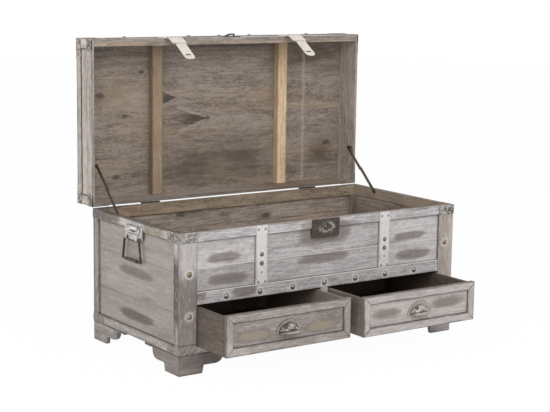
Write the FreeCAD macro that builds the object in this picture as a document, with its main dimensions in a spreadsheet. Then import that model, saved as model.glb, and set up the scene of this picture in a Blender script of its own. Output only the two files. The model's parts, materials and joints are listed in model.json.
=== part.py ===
import FreeCAD
import Part
import Sketcher
import math
import os

# Mule chest: a whitewashed plank trunk with a hinged lid over two drawers, on four bracket feet.
# Millimetres, +Z up, front towards -Y, floor at Z = 0, and the middle of the open chest's box at
# X = Y = 0. It is drawn as it stands open: lid upright behind the back, both drawers pulled out,
# hasps drooping from the lid's front edge and the side bails hanging.

doc = FreeCAD.newDocument("MuleChest")
sizes = doc.addObject("Spreadsheet::Sheet", "Sizes")
places = doc.addObject("Spreadsheet::Sheet", "Places")
nodes = []
LEFT = -1
RIGHT = 1
SIDES = (("left", LEFT), ("right", RIGHT))
AXIS_X = FreeCAD.Vector(1, 0, 0)
AXIS_Y = FreeCAD.Vector(0, 1, 0)
AXIS_Z = FreeCAD.Vector(0, 0, 1)


class Amount:
    """A length or an angle: its number, and the expression that gives it from the sheet."""

    def __init__(self, text, value):
        self.text = text
        self.value = value

    def __add__(self, other):
        other = amount(other)
        return Amount(f"({self.text} + {other.text})", self.value + other.value)

    def __sub__(self, other):
        other = amount(other)
        return Amount(f"({self.text} - {other.text})", self.value - other.value)

    def __mul__(self, other):
        other = amount(other)
        return Amount(f"({self.text} * {other.text})", self.value * other.value)

    def __truediv__(self, other):
        other = amount(other)
        return Amount(f"({self.text} / {other.text})", self.value / other.value)

    def __neg__(self):
        return self * -1

    def __radd__(self, other):
        return amount(other) + self

    def __rsub__(self, other):
        return amount(other) - self

    def __rmul__(self, other):
        return amount(other) * self


def amount(thing):
    """Let a plain number stand beside amounts."""
    return thing if isinstance(thing, Amount) else Amount(f"({thing})", thing)


def cosine(angle):
    return Amount(f"cos({angle.text})", math.cos(math.radians(angle.value)))


def sine(angle):
    return Amount(f"sin({angle.text})", math.sin(math.radians(angle.value)))


def slant(across, up):
    """The length of a slanting line from how far it runs across and up."""
    return Amount(f"sqrt({across.text}^2 + {up.text}^2)", math.hypot(across.value, up.value))


def tilt(across, up):
    """The angle, in degrees, whose tangent is one length over the other."""
    return Amount(f"atan({up.text} / {across.text})", math.degrees(math.atan2(up.value, across.value)))


def size(alias, number, meaning):
    """A driving dimension, in its own cell of the sheet."""
    row = len(sizes.getNonEmptyCells()) // 2 + 1
    sizes.set(f"A{row}", meaning)
    sizes.set(f"B{row}", str(number))
    sizes.setAlias(f"B{row}", alias)
    return Amount(f"Sizes.{alias}", number)


def place(alias, worked_out):
    """A place worked out from the driving dimensions, kept in a cell of its own."""
    row = len(places.getNonEmptyCells()) + 1
    places.set(f"A{row}", "=" + worked_out.text)
    places.setAlias(f"A{row}", alias)
    return Amount(f"Places.{alias}", worked_out.value)


# Driving dimensions of the carcass
chest_width = size("chest_width", 1000, "width over the end strips")
chest_depth = size("chest_depth", 500, "depth over the front and back strips")
rim_height = size("rim_height", 404, "floor to the trunk's rim")
foot_height = size("foot_height", 59, "floor to the underside of the carcass")
plank = size("plank", 8, "thickness of the wall planks")
strip = size("strip", 6, "thickness of the stiles, rails and battens nailed outside")
stile_width = size("stile_width", 58, "width of the front and back corner stiles")
post_width = size("post_width", 24, "width of the end walls' corner strips")
top_rail = size("top_rail", 28, "height of the rail along the rim")
mid_rail = size("mid_rail", 35, "height of the rail between trunk and drawers")
base_rail = size("base_rail", 20, "height of the rail below the drawers")
end_base_rail = size("end_base_rail", 24, "height of the bottom strip on the ends and back")
divider_width = size("divider_width", 28, "width of the stile between the drawers")
drawer_opening = size("drawer_opening", 119, "height of the drawer openings")
batten_width = size("batten_width", 40, "width of the straps down the front")
batten_offset = size("batten_offset", 225, "middle of the chest to the middle of a strap")
deck = size("deck", 8, "thickness of the trunk's floor")
bottom_board = size("bottom_board", 8, "thickness of the board under the drawers")
partition = size("partition", 16, "thickness of the wall between the drawers")
guide_height = size("guide_height", 15, "height of the drawer guides")
guide_setback = size("guide_setback", 6, "front wall to the start of the drawer guides")
cleat = size("cleat", 6, "thickness of the cleats inside the rim, front and back")
end_cleat = size("end_cleat", 3, "thickness of the cleats inside the rim at the ends")
cleat_height = size("cleat_height", 34, "height of the cleats inside the rim")
corner_post = size("corner_post", 19, "square section of the posts in the trunk's corners")

# Driving dimensions of the bracket feet
foot_board = size("foot_board", 14, "thickness of a foot's two boards")
foot_sole = size("foot_sole", 77, "length of a foot's sole from the corner")
foot_batter = size("foot_batter", 5, "lean of the foot's inner edge")
foot_step = size("foot_step", 23, "height of the foot's first step")
foot_round_start = size("foot_round_start", 122, "corner to the start of the foot's round")
foot_round = size("foot_round", 25, "radius of the foot's round")
foot_lip = size("foot_lip", 7, "height of the thin lip beyond the round")
foot_reach = size("foot_reach", 190, "corner to the end of the lip")
glue_block = size("glue_block", 32, "section of the block inside a foot")

# Driving dimensions of the drawers
drawer_gap = size("drawer_gap", 1, "gap round a drawer front at its sides and top")
drawer_lift = size("drawer_lift", 0.4, "running gap under a drawer")
drawer_length = size("drawer_length", 420, "length of a drawer over its front and back")
drawer_frame = size("drawer_frame", 24, "width of the mitred strips on a drawer front")
drawer_face = size("drawer_face", 6, "thickness of the mitred strips")
drawer_panel = size("drawer_panel", 9, "thickness of the board behind the strips")
drawer_side = size("drawer_side", 11, "thickness of a drawer's sides and back")
drawer_side_drop = size("drawer_side_drop", 5, "drawer front's top to the sides' top")
drawer_side_inset = size("drawer_side_inset", 0.6, "drawer front's end to the side's face")
drawer_base = size("drawer_base", 5, "thickness of a drawer's bottom")
drawer_base_rise = size("drawer_base_rise", 6, "underside of the sides to the bottom panel")
left_out = size("left_out", 149.5, "how far the left drawer stands out")
right_out = size("right_out", 172, "how far the right drawer stands out")
pull_width = size("pull_width", 84, "width of a cup pull's cup")
pull_height = size("pull_height", 38, "height of the cup")
pull_depth = size("pull_depth", 24, "how far the cup stands off the panel")
pull_wall = size("pull_wall", 1.8, "thickness of the cup's metal")
pull_flange = size("pull_flange", 5, "width of the flange round the cup")
pull_flange_rise = size("pull_flange_rise", 2.4, "thickness of the flange beside the cup")

# Driving dimensions of the lid
lid_height = size("lid_height", 95, "height of the closed lid")
lid_overhang = size("lid_overhang", 1.5, "how far the lid stands past the front and ends")
rim_gap = size("rim_gap", 1, "gap between the closed lid and the rim")
lid_board = size("lid_board", 6, "thickness of the lid's boards")
lid_strip = size("lid_strip", 3, "thickness of the strips nailed on the lid")
lid_rail = size("lid_rail", 28, "width of the strips round the lid")
lid_stile = size("lid_stile", 30, "width of the strips up the lid's corners")
lid_cleat = size("lid_cleat", 13, "thickness of the cleat inside the lid's front")
lid_cleat_height = size("lid_cleat_height", 24, "height of the cleat inside the lid's front")
lid_batten_width = size("lid_batten_width", 36, "width of the battens inside the lid")
lid_batten_depth = size("lid_batten_depth", 24, "depth of the battens inside the lid")
lid_batten_offset = size("lid_batten_offset", 238, "middle of the lid to the middle of a batten")

# Driving dimensions of the metalwork
cap_sheet = size("cap_sheet", 1, "thickness of the corner caps")
cap_height = size("cap_height", 28, "height of a corner cap")
cap_side = size("cap_side", 62, "reach of a corner cap along the ends")
nail_radius = size("nail_radius", 7, "radius of a broad dome nail")
nail_rise = size("nail_rise", 4, "height of a broad dome nail")
strap_nail_radius = size("strap_nail_radius", 5.5, "radius of the dome nail on a strap")
strap_nail_rise = size("strap_nail_rise", 3, "height of the dome nail on a strap")
nail_pitch = size("nail_pitch", 115, "spacing of the nails on the mid rail and the lid")
mid_nail_height = size("mid_nail_height", 14, "mid rail's lower edge to its nails")
stile_nail_inset = size("stile_nail_inset", 33, "chest's end to the nails on a stile")
stile_nail_high = size("stile_nail_high", 117, "rim to the upper nail on a stile")
stile_nail_low = size("stile_nail_low", 237, "rim to the lower nail on a stile")
batten_nail_drop = size("batten_nail_drop", 84, "rim to the nail on a strap")
lock_width = size("lock_width", 100, "width of the lock plate")
lock_height = size("lock_height", 56, "height of the lock plate")
lock_sheet = size("lock_sheet", 2, "thickness of the lock plate")
lock_round = size("lock_round", 9, "radius of the lock plate's lower corners")
lock_case_margin = size("lock_case_margin", 4, "lock plate's edge to the case behind it")
keyhole_radius = size("keyhole_radius", 5, "radius of the keyhole")
keyhole_drop = size("keyhole_drop", 24, "rim to the keyhole")
hinge_offset = size("hinge_offset", 2.5, "back of the chest to the hinge pins")
hinge_place = size("hinge_place", 300, "middle of the chest to a hinge")
hinge_width = size("hinge_width", 66, "width of a hinge")
hinge_leaf = size("hinge_leaf", 1.4, "thickness of a hinge leaf")
hinge_reach = size("hinge_reach", 34, "pin to the end of a hinge leaf")
hinge_barrel = size("hinge_barrel", 2.4, "radius of a hinge's knuckles")
hinge_pin = size("hinge_pin", 1.2, "radius of a hinge pin")
turning_gap = size("turning_gap", 0.4, "clearance between pieces that turn on each other")
stay_foot_ahead = size("stay_foot_ahead", 131, "hinge pins to a stay's lower pin, forwards")
stay_foot_drop = size("stay_foot_drop", 9, "rim to a stay's lower pin")
stay_head_back = size("stay_head_back", 13, "hinge pins to a stay's upper pin, backwards")
stay_head_rise = size("stay_head_rise", 124.5, "hinge pins to a stay's upper pin, upwards")
stay_lower = size("stay_lower", 103, "length of a stay's lower strap between pins")
stay_width = size("stay_width", 11, "width of a stay's straps")
stay_sheet = size("stay_sheet", 2, "thickness of a stay's straps")
stay_pin = size("stay_pin", 2, "radius of the stays' pins")
stay_head = size("stay_head", 4.5, "radius of the stay pins' heads")
hasp_overreach = size("hasp_overreach", 17.5, "lid's rim to the hasp's pin")
hasp_width = size("hasp_width", 50, "width of a hasp's base and link")
hasp_sheet = size("hasp_sheet", 1.5, "thickness of a hasp's metal")
hasp_barrel = size("hasp_barrel", 2.5, "radius of a hasp's knuckles")
hasp_pin = size("hasp_pin", 1.1, "radius of a hasp's pins")
hasp_base_reach = size("hasp_base_reach", 58, "hasp's pin to the end of its base")
hasp_link = size("hasp_link", 39, "length of a hasp's link between pins")
hasp_tongue = size("hasp_tongue", 76, "fold to the tip of a hasp's tongue")
hasp_tongue_width = size("hasp_tongue_width", 36, "width of a hasp's tongue")
hasp_tip_round = size("hasp_tip_round", 14, "radius of the tongue's end corners")
hasp_slot = size("hasp_slot", 55, "fold to the middle of the tongue's slot")
hasp_slot_width = size("hasp_slot_width", 18, "length of the tongue's slot")
hasp_slot_height = size("hasp_slot_height", 7, "height of the tongue's slot")
hasp_hole = size("hasp_hole", 12, "fold to the tongue's small hole")
hasp_hole_radius = size("hasp_hole_radius", 2.2, "radius of the tongue's small hole")
link_droop = size("link_droop", 27, "droop of the open hasp's link in degrees")
tongue_droop = size("tongue_droop", 34, "droop of the open hasp's tongue in degrees")
peg_radius = size("peg_radius", 2.5, "radius of the peg that a hasp drops over")
peg_reach = size("peg_reach", 5.5, "how far the peg stands out")
peg_collar = size("peg_collar", 6, "radius of the peg's collar")
peg_collar_rise = size("peg_collar_rise", 1.2, "thickness of the peg's collar")
catch_width = size("catch_width", 56, "width of the lid's lift plate")
catch_depth = size("catch_depth", 24, "depth of the lid's lift plate")
catch_ring = size("catch_ring", 15, "radius of the lift ring")
catch_wire = size("catch_wire", 2.4, "radius of the lift ring's wire")
catch_tilt = size("catch_tilt", 25, "tilt of the lift ring in degrees")
bail_plate_width = size("bail_plate_width", 106, "width of a bail's plate")
bail_plate_height = size("bail_plate_height", 54, "height of a bail's plate")
bail_plate_drop = size("bail_plate_drop", 6, "rim to the top of a bail's plate")
bail_plate_round = size("bail_plate_round", 22, "radius of the bail plate's corners")
bail_plate_sheet = size("bail_plate_sheet", 3, "thickness of a bail's plate")
bail_boss_width = size("bail_boss_width", 76, "width of the oval boss on a bail's plate")
bail_boss_height = size("bail_boss_height", 24, "height of the oval boss on a bail's plate")
bail_boss_round = size("bail_boss_round", 11, "radius of the boss's corners")
bail_boss_rise = size("bail_boss_rise", 1.6, "how far the boss stands out of the plate")
bail_boss_drop = size("bail_boss_drop", 8, "top of a bail's plate to its boss")
bail_ear = size("bail_ear", 6, "radius of the ears that hold a bail")
bail_ear_out = size("bail_ear_out", 5, "bail's plate to the bail's axis")
bail_ear_length = size("bail_ear_length", 12, "length of an ear")
bail_axis_rise = size("bail_axis_rise", 10, "lower edge of the plate to the bail's axis")
bail_top = size("bail_top", 81, "spacing of a bail's legs at the axis")
bail_foot = size("bail_foot", 104, "spacing of a bail's legs at the grip")
bail_drop = size("bail_drop", 65, "axis to the middle of the grip")
bail_wire = size("bail_wire", 3.4, "radius of a bail's rod")
bail_grip = size("bail_grip", 5, "radius of the bail's grip")
bail_grip_length = size("bail_grip_length", 64, "length of the bail's grip")

# Places worked out from them
half = place("half", chest_width / 2)
panel_x = place("panel_x", half - strip)
wall_x = place("wall_x", panel_x - plank)
opening_x = place("opening_x", half - stile_width)
front_reach = right_out + pull_depth - drawer_face
back_reach = chest_depth + hinge_offset + rim_gap / 2 + lid_height
front = place("front", (front_reach - back_reach) / 2)
panel_y = place("panel_y", front + strip)
wall_y = place("wall_y", panel_y + plank)
back = place("back", front + chest_depth)
back_panel_y = place("back_panel_y", back - strip)
back_wall_y = place("back_wall_y", back_panel_y - plank)
drawer_floor_z = place("drawer_floor_z", foot_height + base_rail)
deck_z = place("deck_z", drawer_floor_z + drawer_opening)
deck_top = place("deck_top", deck_z + deck)
mid_top = place("mid_top", deck_z + mid_rail)
rail_z = place("rail_z", rim_height - top_rail)
cleat_z = place("cleat_z", rim_height - cleat_height)
axis_y = place("axis_y", back + hinge_offset)
axis_z = place("axis_z", rim_height + rim_gap / 2)
lid_half = place("lid_half", half + lid_overhang)
lid_panel_x = place("lid_panel_x", lid_half - lid_strip)
lid_wall_x = place("lid_wall_x", lid_panel_x - lid_board)
lid_rim_y = place("lid_rim_y", axis_y + rim_gap / 2)
lid_top_y = place("lid_top_y", lid_rim_y + lid_height)
lid_roof_y = place("lid_roof_y", lid_top_y - lid_strip)
lid_board_y = place("lid_board_y", lid_roof_y - lid_board)
lid_low_z = place("lid_low_z", axis_z + hinge_offset)
lid_high_z = place("lid_high_z", lid_low_z + chest_depth + lid_overhang)
lid_low_panel = place("lid_low_panel", lid_low_z + lid_strip)
lid_low_wall = place("lid_low_wall", lid_low_panel + lid_board)
lid_high_panel = place("lid_high_panel", lid_high_z - lid_strip)
lid_high_wall = place("lid_high_wall", lid_high_panel - lid_board)


def board(x, y, z):
    """A rectangular board between two places on each axis."""
    box = doc.addObject("Part::Box", "Board")
    for side, axis, (low, high) in zip(("Length", "Width", "Height"), "xyz", (x, y, z)):
        low = amount(low)
        box.setExpression(side, (high - low).text)
        box.setExpression(f"Placement.Base.{axis}", low.text)
    return box


def on_side(sign, near, far):
    """The stretch between two distances from the middle, on the left or the right."""
    return (near, far) if sign == RIGHT else (-far, -near)


def about(middle, width):
    """The stretch of a given width about a middle."""
    return (middle - width / 2, middle + width / 2)


def planks(x, y, z, axis, count):
    """Boards laid edge to edge along one axis to fill a space."""
    spans = {"x": x, "y": y, "z": z}
    low, high = spans[axis]
    pitch = (high - low) / count
    laid = []
    for row in range(count):
        spans[axis] = (low + pitch * row, low + pitch * (row + 1))
        laid.append(board(spans["x"], spans["y"], spans["z"]))
    return laid


def set_at(piece, x, y, z, axis=AXIS_Z, angle=0):
    """Put a piece in its place, turned about an axis."""
    spot = [amount(x), amount(y), amount(z)]
    angle = amount(angle)
    turn = FreeCAD.Rotation(axis, angle.value)
    piece.Placement = FreeCAD.Placement(FreeCAD.Vector(*[part.value for part in spot]), turn)
    for letter, part in zip("xyz", spot):
        piece.setExpression(f"Placement.Base.{letter}", part.text)
    if angle.value:
        piece.setExpression("Placement.Rotation.Angle", angle.text)
    return piece


def rod(radius, length, x, y, z, axis=AXIS_Z, angle=0):
    """A round rod from a point, along +Z turned about an axis."""
    cylinder = doc.addObject("Part::Cylinder", "Rod")
    cylinder.setExpression("Radius", amount(radius).text)
    cylinder.setExpression("Height", amount(length).text)
    return set_at(cylinder, x, y, z, axis, angle)


def rod_across(radius, x, y, z):
    """A round rod along X, over a stretch of X."""
    return rod(radius, x[1] - x[0], x[0], y, z, AXIS_Y, 90)


def fused(*pieces):
    """Several shapes made into one solid."""
    whole = doc.addObject("Part::MultiFuse", "Whole")
    whole.Shapes = list(pieces)
    whole.Refine = True
    return whole


def cut(base, tool):
    """One shape with another taken out of it."""
    rest = doc.addObject("Part::Cut", "Rest")
    rest.Base = base
    rest.Tool = tool
    return rest


def node(name, *pieces):
    """A named sub-part: one piece, or a group of separate pieces that stay together."""
    if len(pieces) == 1:
        part = pieces[0]
    else:
        part = doc.addObject("Part::Compound", "Group")
        part.Links = list(pieces)
    part.Label = name
    nodes.append(part)
    return part


def mirrored(piece, base, normal):
    """The mirror image of a piece in a plane through a point."""
    image = doc.addObject("Part::Mirroring", "Image")
    image.Source = piece
    image.Normal = normal
    image.Base = FreeCAD.Vector(*[amount(part).value for part in base])
    for letter, part in zip("xyz", base):
        image.setExpression(f"Base.{letter}", amount(part).text)
    return image


def new_sketch(body, role):
    """An empty sketch on one of the body's own planes."""
    sketch = body.newObject("Sketcher::SketchObject", "Outline")
    plane = next(item for item in body.Origin.OriginFeatures if item.Role == role)
    sketch.AttachmentSupport = (plane, [""])
    sketch.MapMode = "FlatFace"
    return sketch


def pin_down(sketch, edge, end, letter, part):
    """Tie one coordinate of an edge's end or centre to an expression."""
    part = amount(part)
    number = sketch.addConstraint(Sketcher.Constraint(f"Distance{letter}", edge, end, part.value))
    sketch.setExpression(f"Constraints[{number}]", part.text)


def loop(sketch, corners):
    """A closed outline; a corner that names a centre too starts an arc about that centre."""
    spots = [FreeCAD.Vector(amount(spot[0]).value, amount(spot[1]).value, 0) for spot in corners]
    first = sketch.GeometryCount
    ends = []
    for index, corner in enumerate(corners):
        start = spots[index]
        end = spots[(index + 1) % len(spots)]
        if len(corner) == 2:
            sketch.addGeometry(Part.LineSegment(start, end))
            ends.append((1, 2))
            continue
        centre = FreeCAD.Vector(amount(corner[2]).value, amount(corner[3]).value, 0)
        circle = Part.Circle(centre, AXIS_Z, (start - centre).Length)
        turns_left = (start - centre).cross(end - centre).z > 0
        low, high = (start, end) if turns_left else (end, start)
        sketch.addGeometry(Part.ArcOfCircle(circle, circle.parameter(low), circle.parameter(high)))
        ends.append((1, 2) if turns_left else (2, 1))
    for index, corner in enumerate(corners):
        edge = first + index
        following = (index + 1) % len(corners)
        sketch.addConstraint(Sketcher.Constraint(
            "Coincident", edge, ends[index][1], first + following, ends[following][0]))
        pin_down(sketch, edge, ends[index][0], "X", corner[0])
        pin_down(sketch, edge, ends[index][0], "Y", corner[1])
        if len(corner) > 2:
            pin_down(sketch, edge, 3, "X", corner[2])


def ring(sketch, across, up, radius):
    """A round hole in an outline."""
    centre = FreeCAD.Vector(amount(across).value, amount(up).value, 0)
    edge = sketch.addGeometry(Part.Circle(centre, AXIS_Z, amount(radius).value))
    pin_down(sketch, edge, 3, "X", across)
    pin_down(sketch, edge, 3, "Y", up)
    number = sketch.addConstraint(Sketcher.Constraint("Radius", edge, amount(radius).value))
    sketch.setExpression(f"Constraints[{number}]", amount(radius).text)


def plate(role, corners, thickness, reverse=False, rings=(), slots=()):
    """A flat piece: an outline with its holes, padded to a thickness."""
    body = doc.addObject("PartDesign::Body", "Plate")
    sketch = new_sketch(body, role)
    loop(sketch, corners)
    for hole in rings:
        ring(sketch, *hole)
    for slot in slots:
        loop(sketch, slot)
    pad = body.newObject("PartDesign::Pad", "Thickness")
    pad.Profile = sketch
    pad.Reversed = reverse
    pad.setExpression("Length", thickness.text)
    return body


def strap(length, radius):
    """Corners of a strap with round ends, from one pin to the other."""
    return [
        (0, -radius),
        (length, -radius, length, 0),
        (length + radius, 0, length, 0),
        (length, radius),
        (0, radius, 0, 0),
        (-radius, 0, 0, 0),
    ]


def rounded(width, low, high, low_round, high_round):
    """Corners of an upright plate about its middle, with rounded lower and upper corners."""
    side = width / 2
    return [
        (low_round - side, low),
        (side - low_round, low, side - low_round, low + low_round),
        (side, low + low_round),
        (side, high - high_round, side - high_round, high - high_round),
        (side - high_round, high),
        (high_round - side, high, high_round - side, high - high_round),
        (-side, high - high_round),
        (-side, low + low_round, low_round - side, low + low_round),
    ]


# Carcass: planks for the walls and floors
node("end_planks", *[
    laid
    for side_name, sign in SIDES
    for laid in planks(
        on_side(sign, wall_x, panel_x), (panel_y, back_panel_y), (foot_height, rim_height), "z", 3)])
across = (-wall_x, wall_x)
node("front_planks", *planks(across, (panel_y, wall_y), (deck_z, rim_height), "z", 2))
node("back_planks", *planks(across, (back_wall_y, back_panel_y), (foot_height, rim_height), "z", 4))
node("trunk_floor", *planks(across, (wall_y, back_wall_y), (deck_z, deck_top), "y", 4))
node("drawer_floor", board(
    across, (panel_y, back_wall_y), (drawer_floor_z - bottom_board, drawer_floor_z)))

# Carcass: stiles, rails and straps on the front
front_skin = (front, panel_y)
node("front_stiles", *[
    board(on_side(sign, opening_x, half), front_skin, (foot_height, rim_height))
    for side_name, sign in SIDES])
batten_inner = batten_offset - batten_width / 2
batten_outer = batten_offset + batten_width / 2
rail_spans = [
    (-opening_x, -batten_outer),
    (-batten_inner, batten_inner),
    (batten_outer, opening_x),
]
node(
    "front_rails",
    *[board(span, front_skin, (rail_z, rim_height)) for span in rail_spans],
    board((-opening_x, opening_x), front_skin, (deck_z, mid_top)),
    board((-opening_x, opening_x), front_skin, (foot_height, drawer_floor_z)),
    board(about(0 * half, divider_width), front_skin, (drawer_floor_z, deck_z)))
node("front_straps", *[
    board(on_side(sign, batten_inner, batten_outer), front_skin, (mid_top, rim_height))
    for side_name, sign in SIDES])

# Carcass: strips on the ends and the back
front_post_y = panel_y + post_width
back_post_y = back_panel_y - post_width
end_frame = (
    ((panel_y, front_post_y), (foot_height, rim_height)),
    ((back_post_y, back_panel_y), (foot_height, rim_height)),
    ((front_post_y, back_post_y), (rail_z, rim_height)),
    ((front_post_y, back_post_y), (foot_height, foot_height + end_base_rail)))
node("end_strips", *[
    board(on_side(sign, panel_x, half), y, z) for side_name, sign in SIDES for y, z in end_frame])
back_skin = (back_panel_y, back)
node(
    "back_strips",
    board((-half, -opening_x), back_skin, (foot_height, rim_height)),
    board((opening_x, half), back_skin, (foot_height, rim_height)),
    board((-opening_x, opening_x), back_skin, (rail_z, rim_height)),
    board((-opening_x, opening_x), back_skin, (foot_height, foot_height + end_base_rail)))

# Carcass: cleats and posts inside the trunk, partition and guides between the drawers
cleat_front = wall_y + cleat
cleat_back = back_wall_y - cleat
rim_band = (cleat_z, rim_height)
node(
    "rim_cleats",
    board(across, (wall_y, cleat_front), rim_band),
    board(across, (cleat_back, back_wall_y), rim_band),
    board((-wall_x, end_cleat - wall_x), (cleat_front, cleat_back), rim_band),
    board((wall_x - end_cleat, wall_x), (cleat_front, cleat_back), rim_band))
node("corner_posts", *[
    board(on_side(sign, wall_x - corner_post, wall_x), span, (deck_top, cleat_z))
    for side_name, sign in SIDES
    for span in ((wall_y, wall_y + corner_post), (back_wall_y - corner_post, back_wall_y))])
guide_y = (wall_y + guide_setback, back_wall_y)
guide_z = (drawer_floor_z, drawer_floor_z + guide_height)
node(
    "drawer_guides",
    board(about(0 * half, partition), (panel_y, back_wall_y), (drawer_floor_z, deck_z)),
    *[board(on_side(sign, near, far), guide_y, guide_z)
      for side_name, sign in SIDES
      for near, far in (
          (partition / 2, divider_width / 2 + drawer_gap),
          (opening_x - drawer_gap, wall_x))])


# Bracket feet: two shaped boards mitred at the corner, with a glue block behind them
def foot_shape():
    """The corner foot at the front left: a stepped bracket with a round and a thin lip."""
    lip_z = foot_height - foot_lip
    round_end = foot_round_start + foot_round
    profile = [
        (0, 0),
        (foot_sole, 0),
        (foot_sole + foot_batter, foot_step),
        (foot_round_start, foot_step, foot_round_start, foot_step + foot_round),
        (round_end, foot_step + foot_round),
        (round_end, lip_z),
        (foot_reach, lip_z),
        (foot_reach, foot_height),
        (0, foot_height),
    ]
    front_board = plate("XZ_Plane", profile, foot_board, reverse=True)
    mitre = new_sketch(front_board, "XY_Plane")
    loop(mitre, [(0, 0), (foot_board, foot_board), (0, foot_board)])
    pocket = front_board.newObject("PartDesign::Pocket", "Mitre")
    pocket.Profile = mitre
    pocket.Reversed = True
    pocket.Type = "ThroughAll"
    set_at(front_board, -half, front, 0)
    side_board = mirrored(front_board, (-half, front, 0), FreeCAD.Vector(1, -1, 0))
    block_low = foot_board - half
    block_front = front + foot_board
    block = board(
        (block_low, block_low + glue_block), (block_front, block_front + glue_block), (0, foot_height))
    return front_board, side_board, block


foot = foot_shape()
middle_y = front + chest_depth / 2
node("foot_front_left", *foot)
right_foot = [mirrored(piece, (0, 0, 0), AXIS_X) for piece in foot]
node("foot_front_right", *right_foot)
node("foot_back_left", *[mirrored(piece, (0, middle_y, 0), AXIS_Y) for piece in foot])
node("foot_back_right", *[mirrored(piece, (0, middle_y, 0), AXIS_Y) for piece in right_foot])


# Corner caps: folded sheet round the corners of the carcass and the lid
def corner_cap(outer, inner):
    """A folded angle: the space between an outer and an inner block."""
    return cut(board(*outer), board(*inner))


def carcass_cap(sign, front_end, z):
    """A cap round one upright corner of the carcass."""
    if front_end:
        outer_y, inner_y = (front - cap_sheet, front + cap_side), (front, front + cap_side)
    else:
        outer_y, inner_y = (back - cap_side, back + cap_sheet), (back - cap_side, back)
    outer = (on_side(sign, opening_x, half + cap_sheet), outer_y, z)
    inner = (on_side(sign, opening_x, half), inner_y, z)
    return corner_cap(outer, inner)


node("corner_caps", *[
    carcass_cap(sign, front_end, z)
    for side_name, sign in SIDES
    for front_end in (True, False)
    for z in ((rim_height - cap_height, rim_height), (foot_height, drawer_floor_z))])


def lid_cap(sign, front_end, y):
    """A cap round one corner of the lid, which lies on its back wall when open."""
    if front_end:
        start = lid_high_z - cap_side
        outer_z, inner_z = (start, lid_high_z + cap_sheet), (start, lid_high_z)
    else:
        end = lid_low_z + cap_side
        outer_z, inner_z = (lid_low_z - cap_sheet, end), (lid_low_z, end)
    outer = (on_side(sign, lid_half - stile_width, lid_half + cap_sheet), y, outer_z)
    inner = (on_side(sign, lid_half - stile_width, lid_half), y, inner_z)
    return corner_cap(outer, inner)


node("lid_corner_caps", *[
    lid_cap(sign, front_end, y)
    for side_name, sign in SIDES
    for front_end in (True, False)
    for y in ((lid_rim_y, lid_rim_y + cap_height), (lid_top_y - cap_height, lid_top_y))])


# Dome nails: broad ones on the frame and the lid, a smaller one on each strap
def dome(radius, rise):
    """The ball that a nail's head is cut from: its radius, and how deep its middle lies in the wood."""
    ball_radius = (radius * radius + rise * rise) / (2 * rise)
    return ball_radius, ball_radius - rise


broad = dome(nail_radius, nail_rise)
small = dome(strap_nail_radius, strap_nail_rise)


def dome_nail(head_ball, x, y, z, axis=AXIS_Z, angle=0):
    """The head of a nail: a spherical cap that looks along +Z, turned about an axis."""
    ball_radius, sunk = head_ball
    head = doc.addObject("Part::Sphere", "Nail")
    head.setExpression("Radius", ball_radius.text)
    head.setExpression("Angle1", f"asin({sunk.text} / {ball_radius.text})")
    return set_at(head, x, y, z, axis, angle)


def front_nail(head_ball, x, z):
    """A dome nail driven into the front."""
    return dome_nail(head_ball, x, front + head_ball[1], z, AXIS_X, 90)


stile_nail_x = half - stile_nail_inset
node("steel_nails", *(
    [front_nail(broad, nail_pitch * step, deck_z + mid_nail_height) for step in range(-3, 4)]
    + [front_nail(broad, stile_nail_x * sign, rim_height - stile_nail_low) for side_name, sign in SIDES]))
node("brass_nails", *(
    [front_nail(broad, stile_nail_x * sign, rim_height - stile_nail_high) for side_name, sign in SIDES]
    + [front_nail(small, batten_offset * sign, rim_height - batten_nail_drop) for side_name, sign in SIDES]))
node("lid_nails", *[
    dome_nail(broad, nail_pitch * step, lid_top_y - lid_rail / 2, lid_high_z - broad[1])
    for step in (-3, -1, 0, 1, 3)])

# Lock: a plate with rounded lower corners over a case let in under the top rail
lock_case_half = lock_width / 2 - lock_case_margin
lock_low = rim_height - lock_height
node("lock_case", board(
    (-lock_case_half, lock_case_half), front_skin, (lock_low + lock_case_margin, rail_z)))
lock_side = lock_width / 2
lock_flat = lock_side - lock_round
lock_plate = plate(
    "XZ_Plane",
    [
        (-lock_flat, 0),
        (lock_flat, 0, lock_flat, lock_round),
        (lock_side, lock_round),
        (lock_side, lock_height),
        (-lock_side, lock_height),
        (-lock_side, lock_round, -lock_flat, lock_round),
    ],
    lock_sheet,
    rings=[(0, lock_height - keyhole_drop, keyhole_radius)])
node("lock_plate", set_at(lock_plate, 0, front, lock_low))


# Lid: boards, strips, cleat and battens, upright behind the chest
lid_wall_y = (lid_rim_y, lid_board_y)
lid_inside = (-lid_wall_x, lid_wall_x)
node(
    "lid_walls",
    board((-lid_panel_x, -lid_wall_x), lid_wall_y, (lid_low_panel, lid_high_panel)),
    board((lid_wall_x, lid_panel_x), lid_wall_y, (lid_low_panel, lid_high_panel)),
    board(lid_inside, lid_wall_y, (lid_high_wall, lid_high_panel)),
    board(lid_inside, lid_wall_y, (lid_low_panel, lid_low_wall)))
node("lid_top_boards", *planks(
    (-lid_panel_x, lid_panel_x), (lid_board_y, lid_roof_y), (lid_low_panel, lid_high_panel), "z", 4))
node("lid_front_cleat", board(
    lid_inside, (lid_rim_y, lid_rim_y + lid_cleat_height), (lid_high_wall - lid_cleat, lid_high_wall)))
node("lid_battens", *[
    board(
        about(lid_batten_offset * sign, lid_batten_width),
        (lid_board_y - lid_batten_depth, lid_board_y),
        (lid_low_wall, lid_high_wall))
    for side_name, sign in SIDES])
rim_strip_y = (lid_rim_y, lid_rim_y + lid_rail)
roof_strip_y = (lid_top_y - lid_rail, lid_roof_y)
side_strip_y = (lid_rim_y, lid_roof_y)
low_stile = lid_low_z + lid_stile
high_stile = lid_high_z - lid_stile
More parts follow.
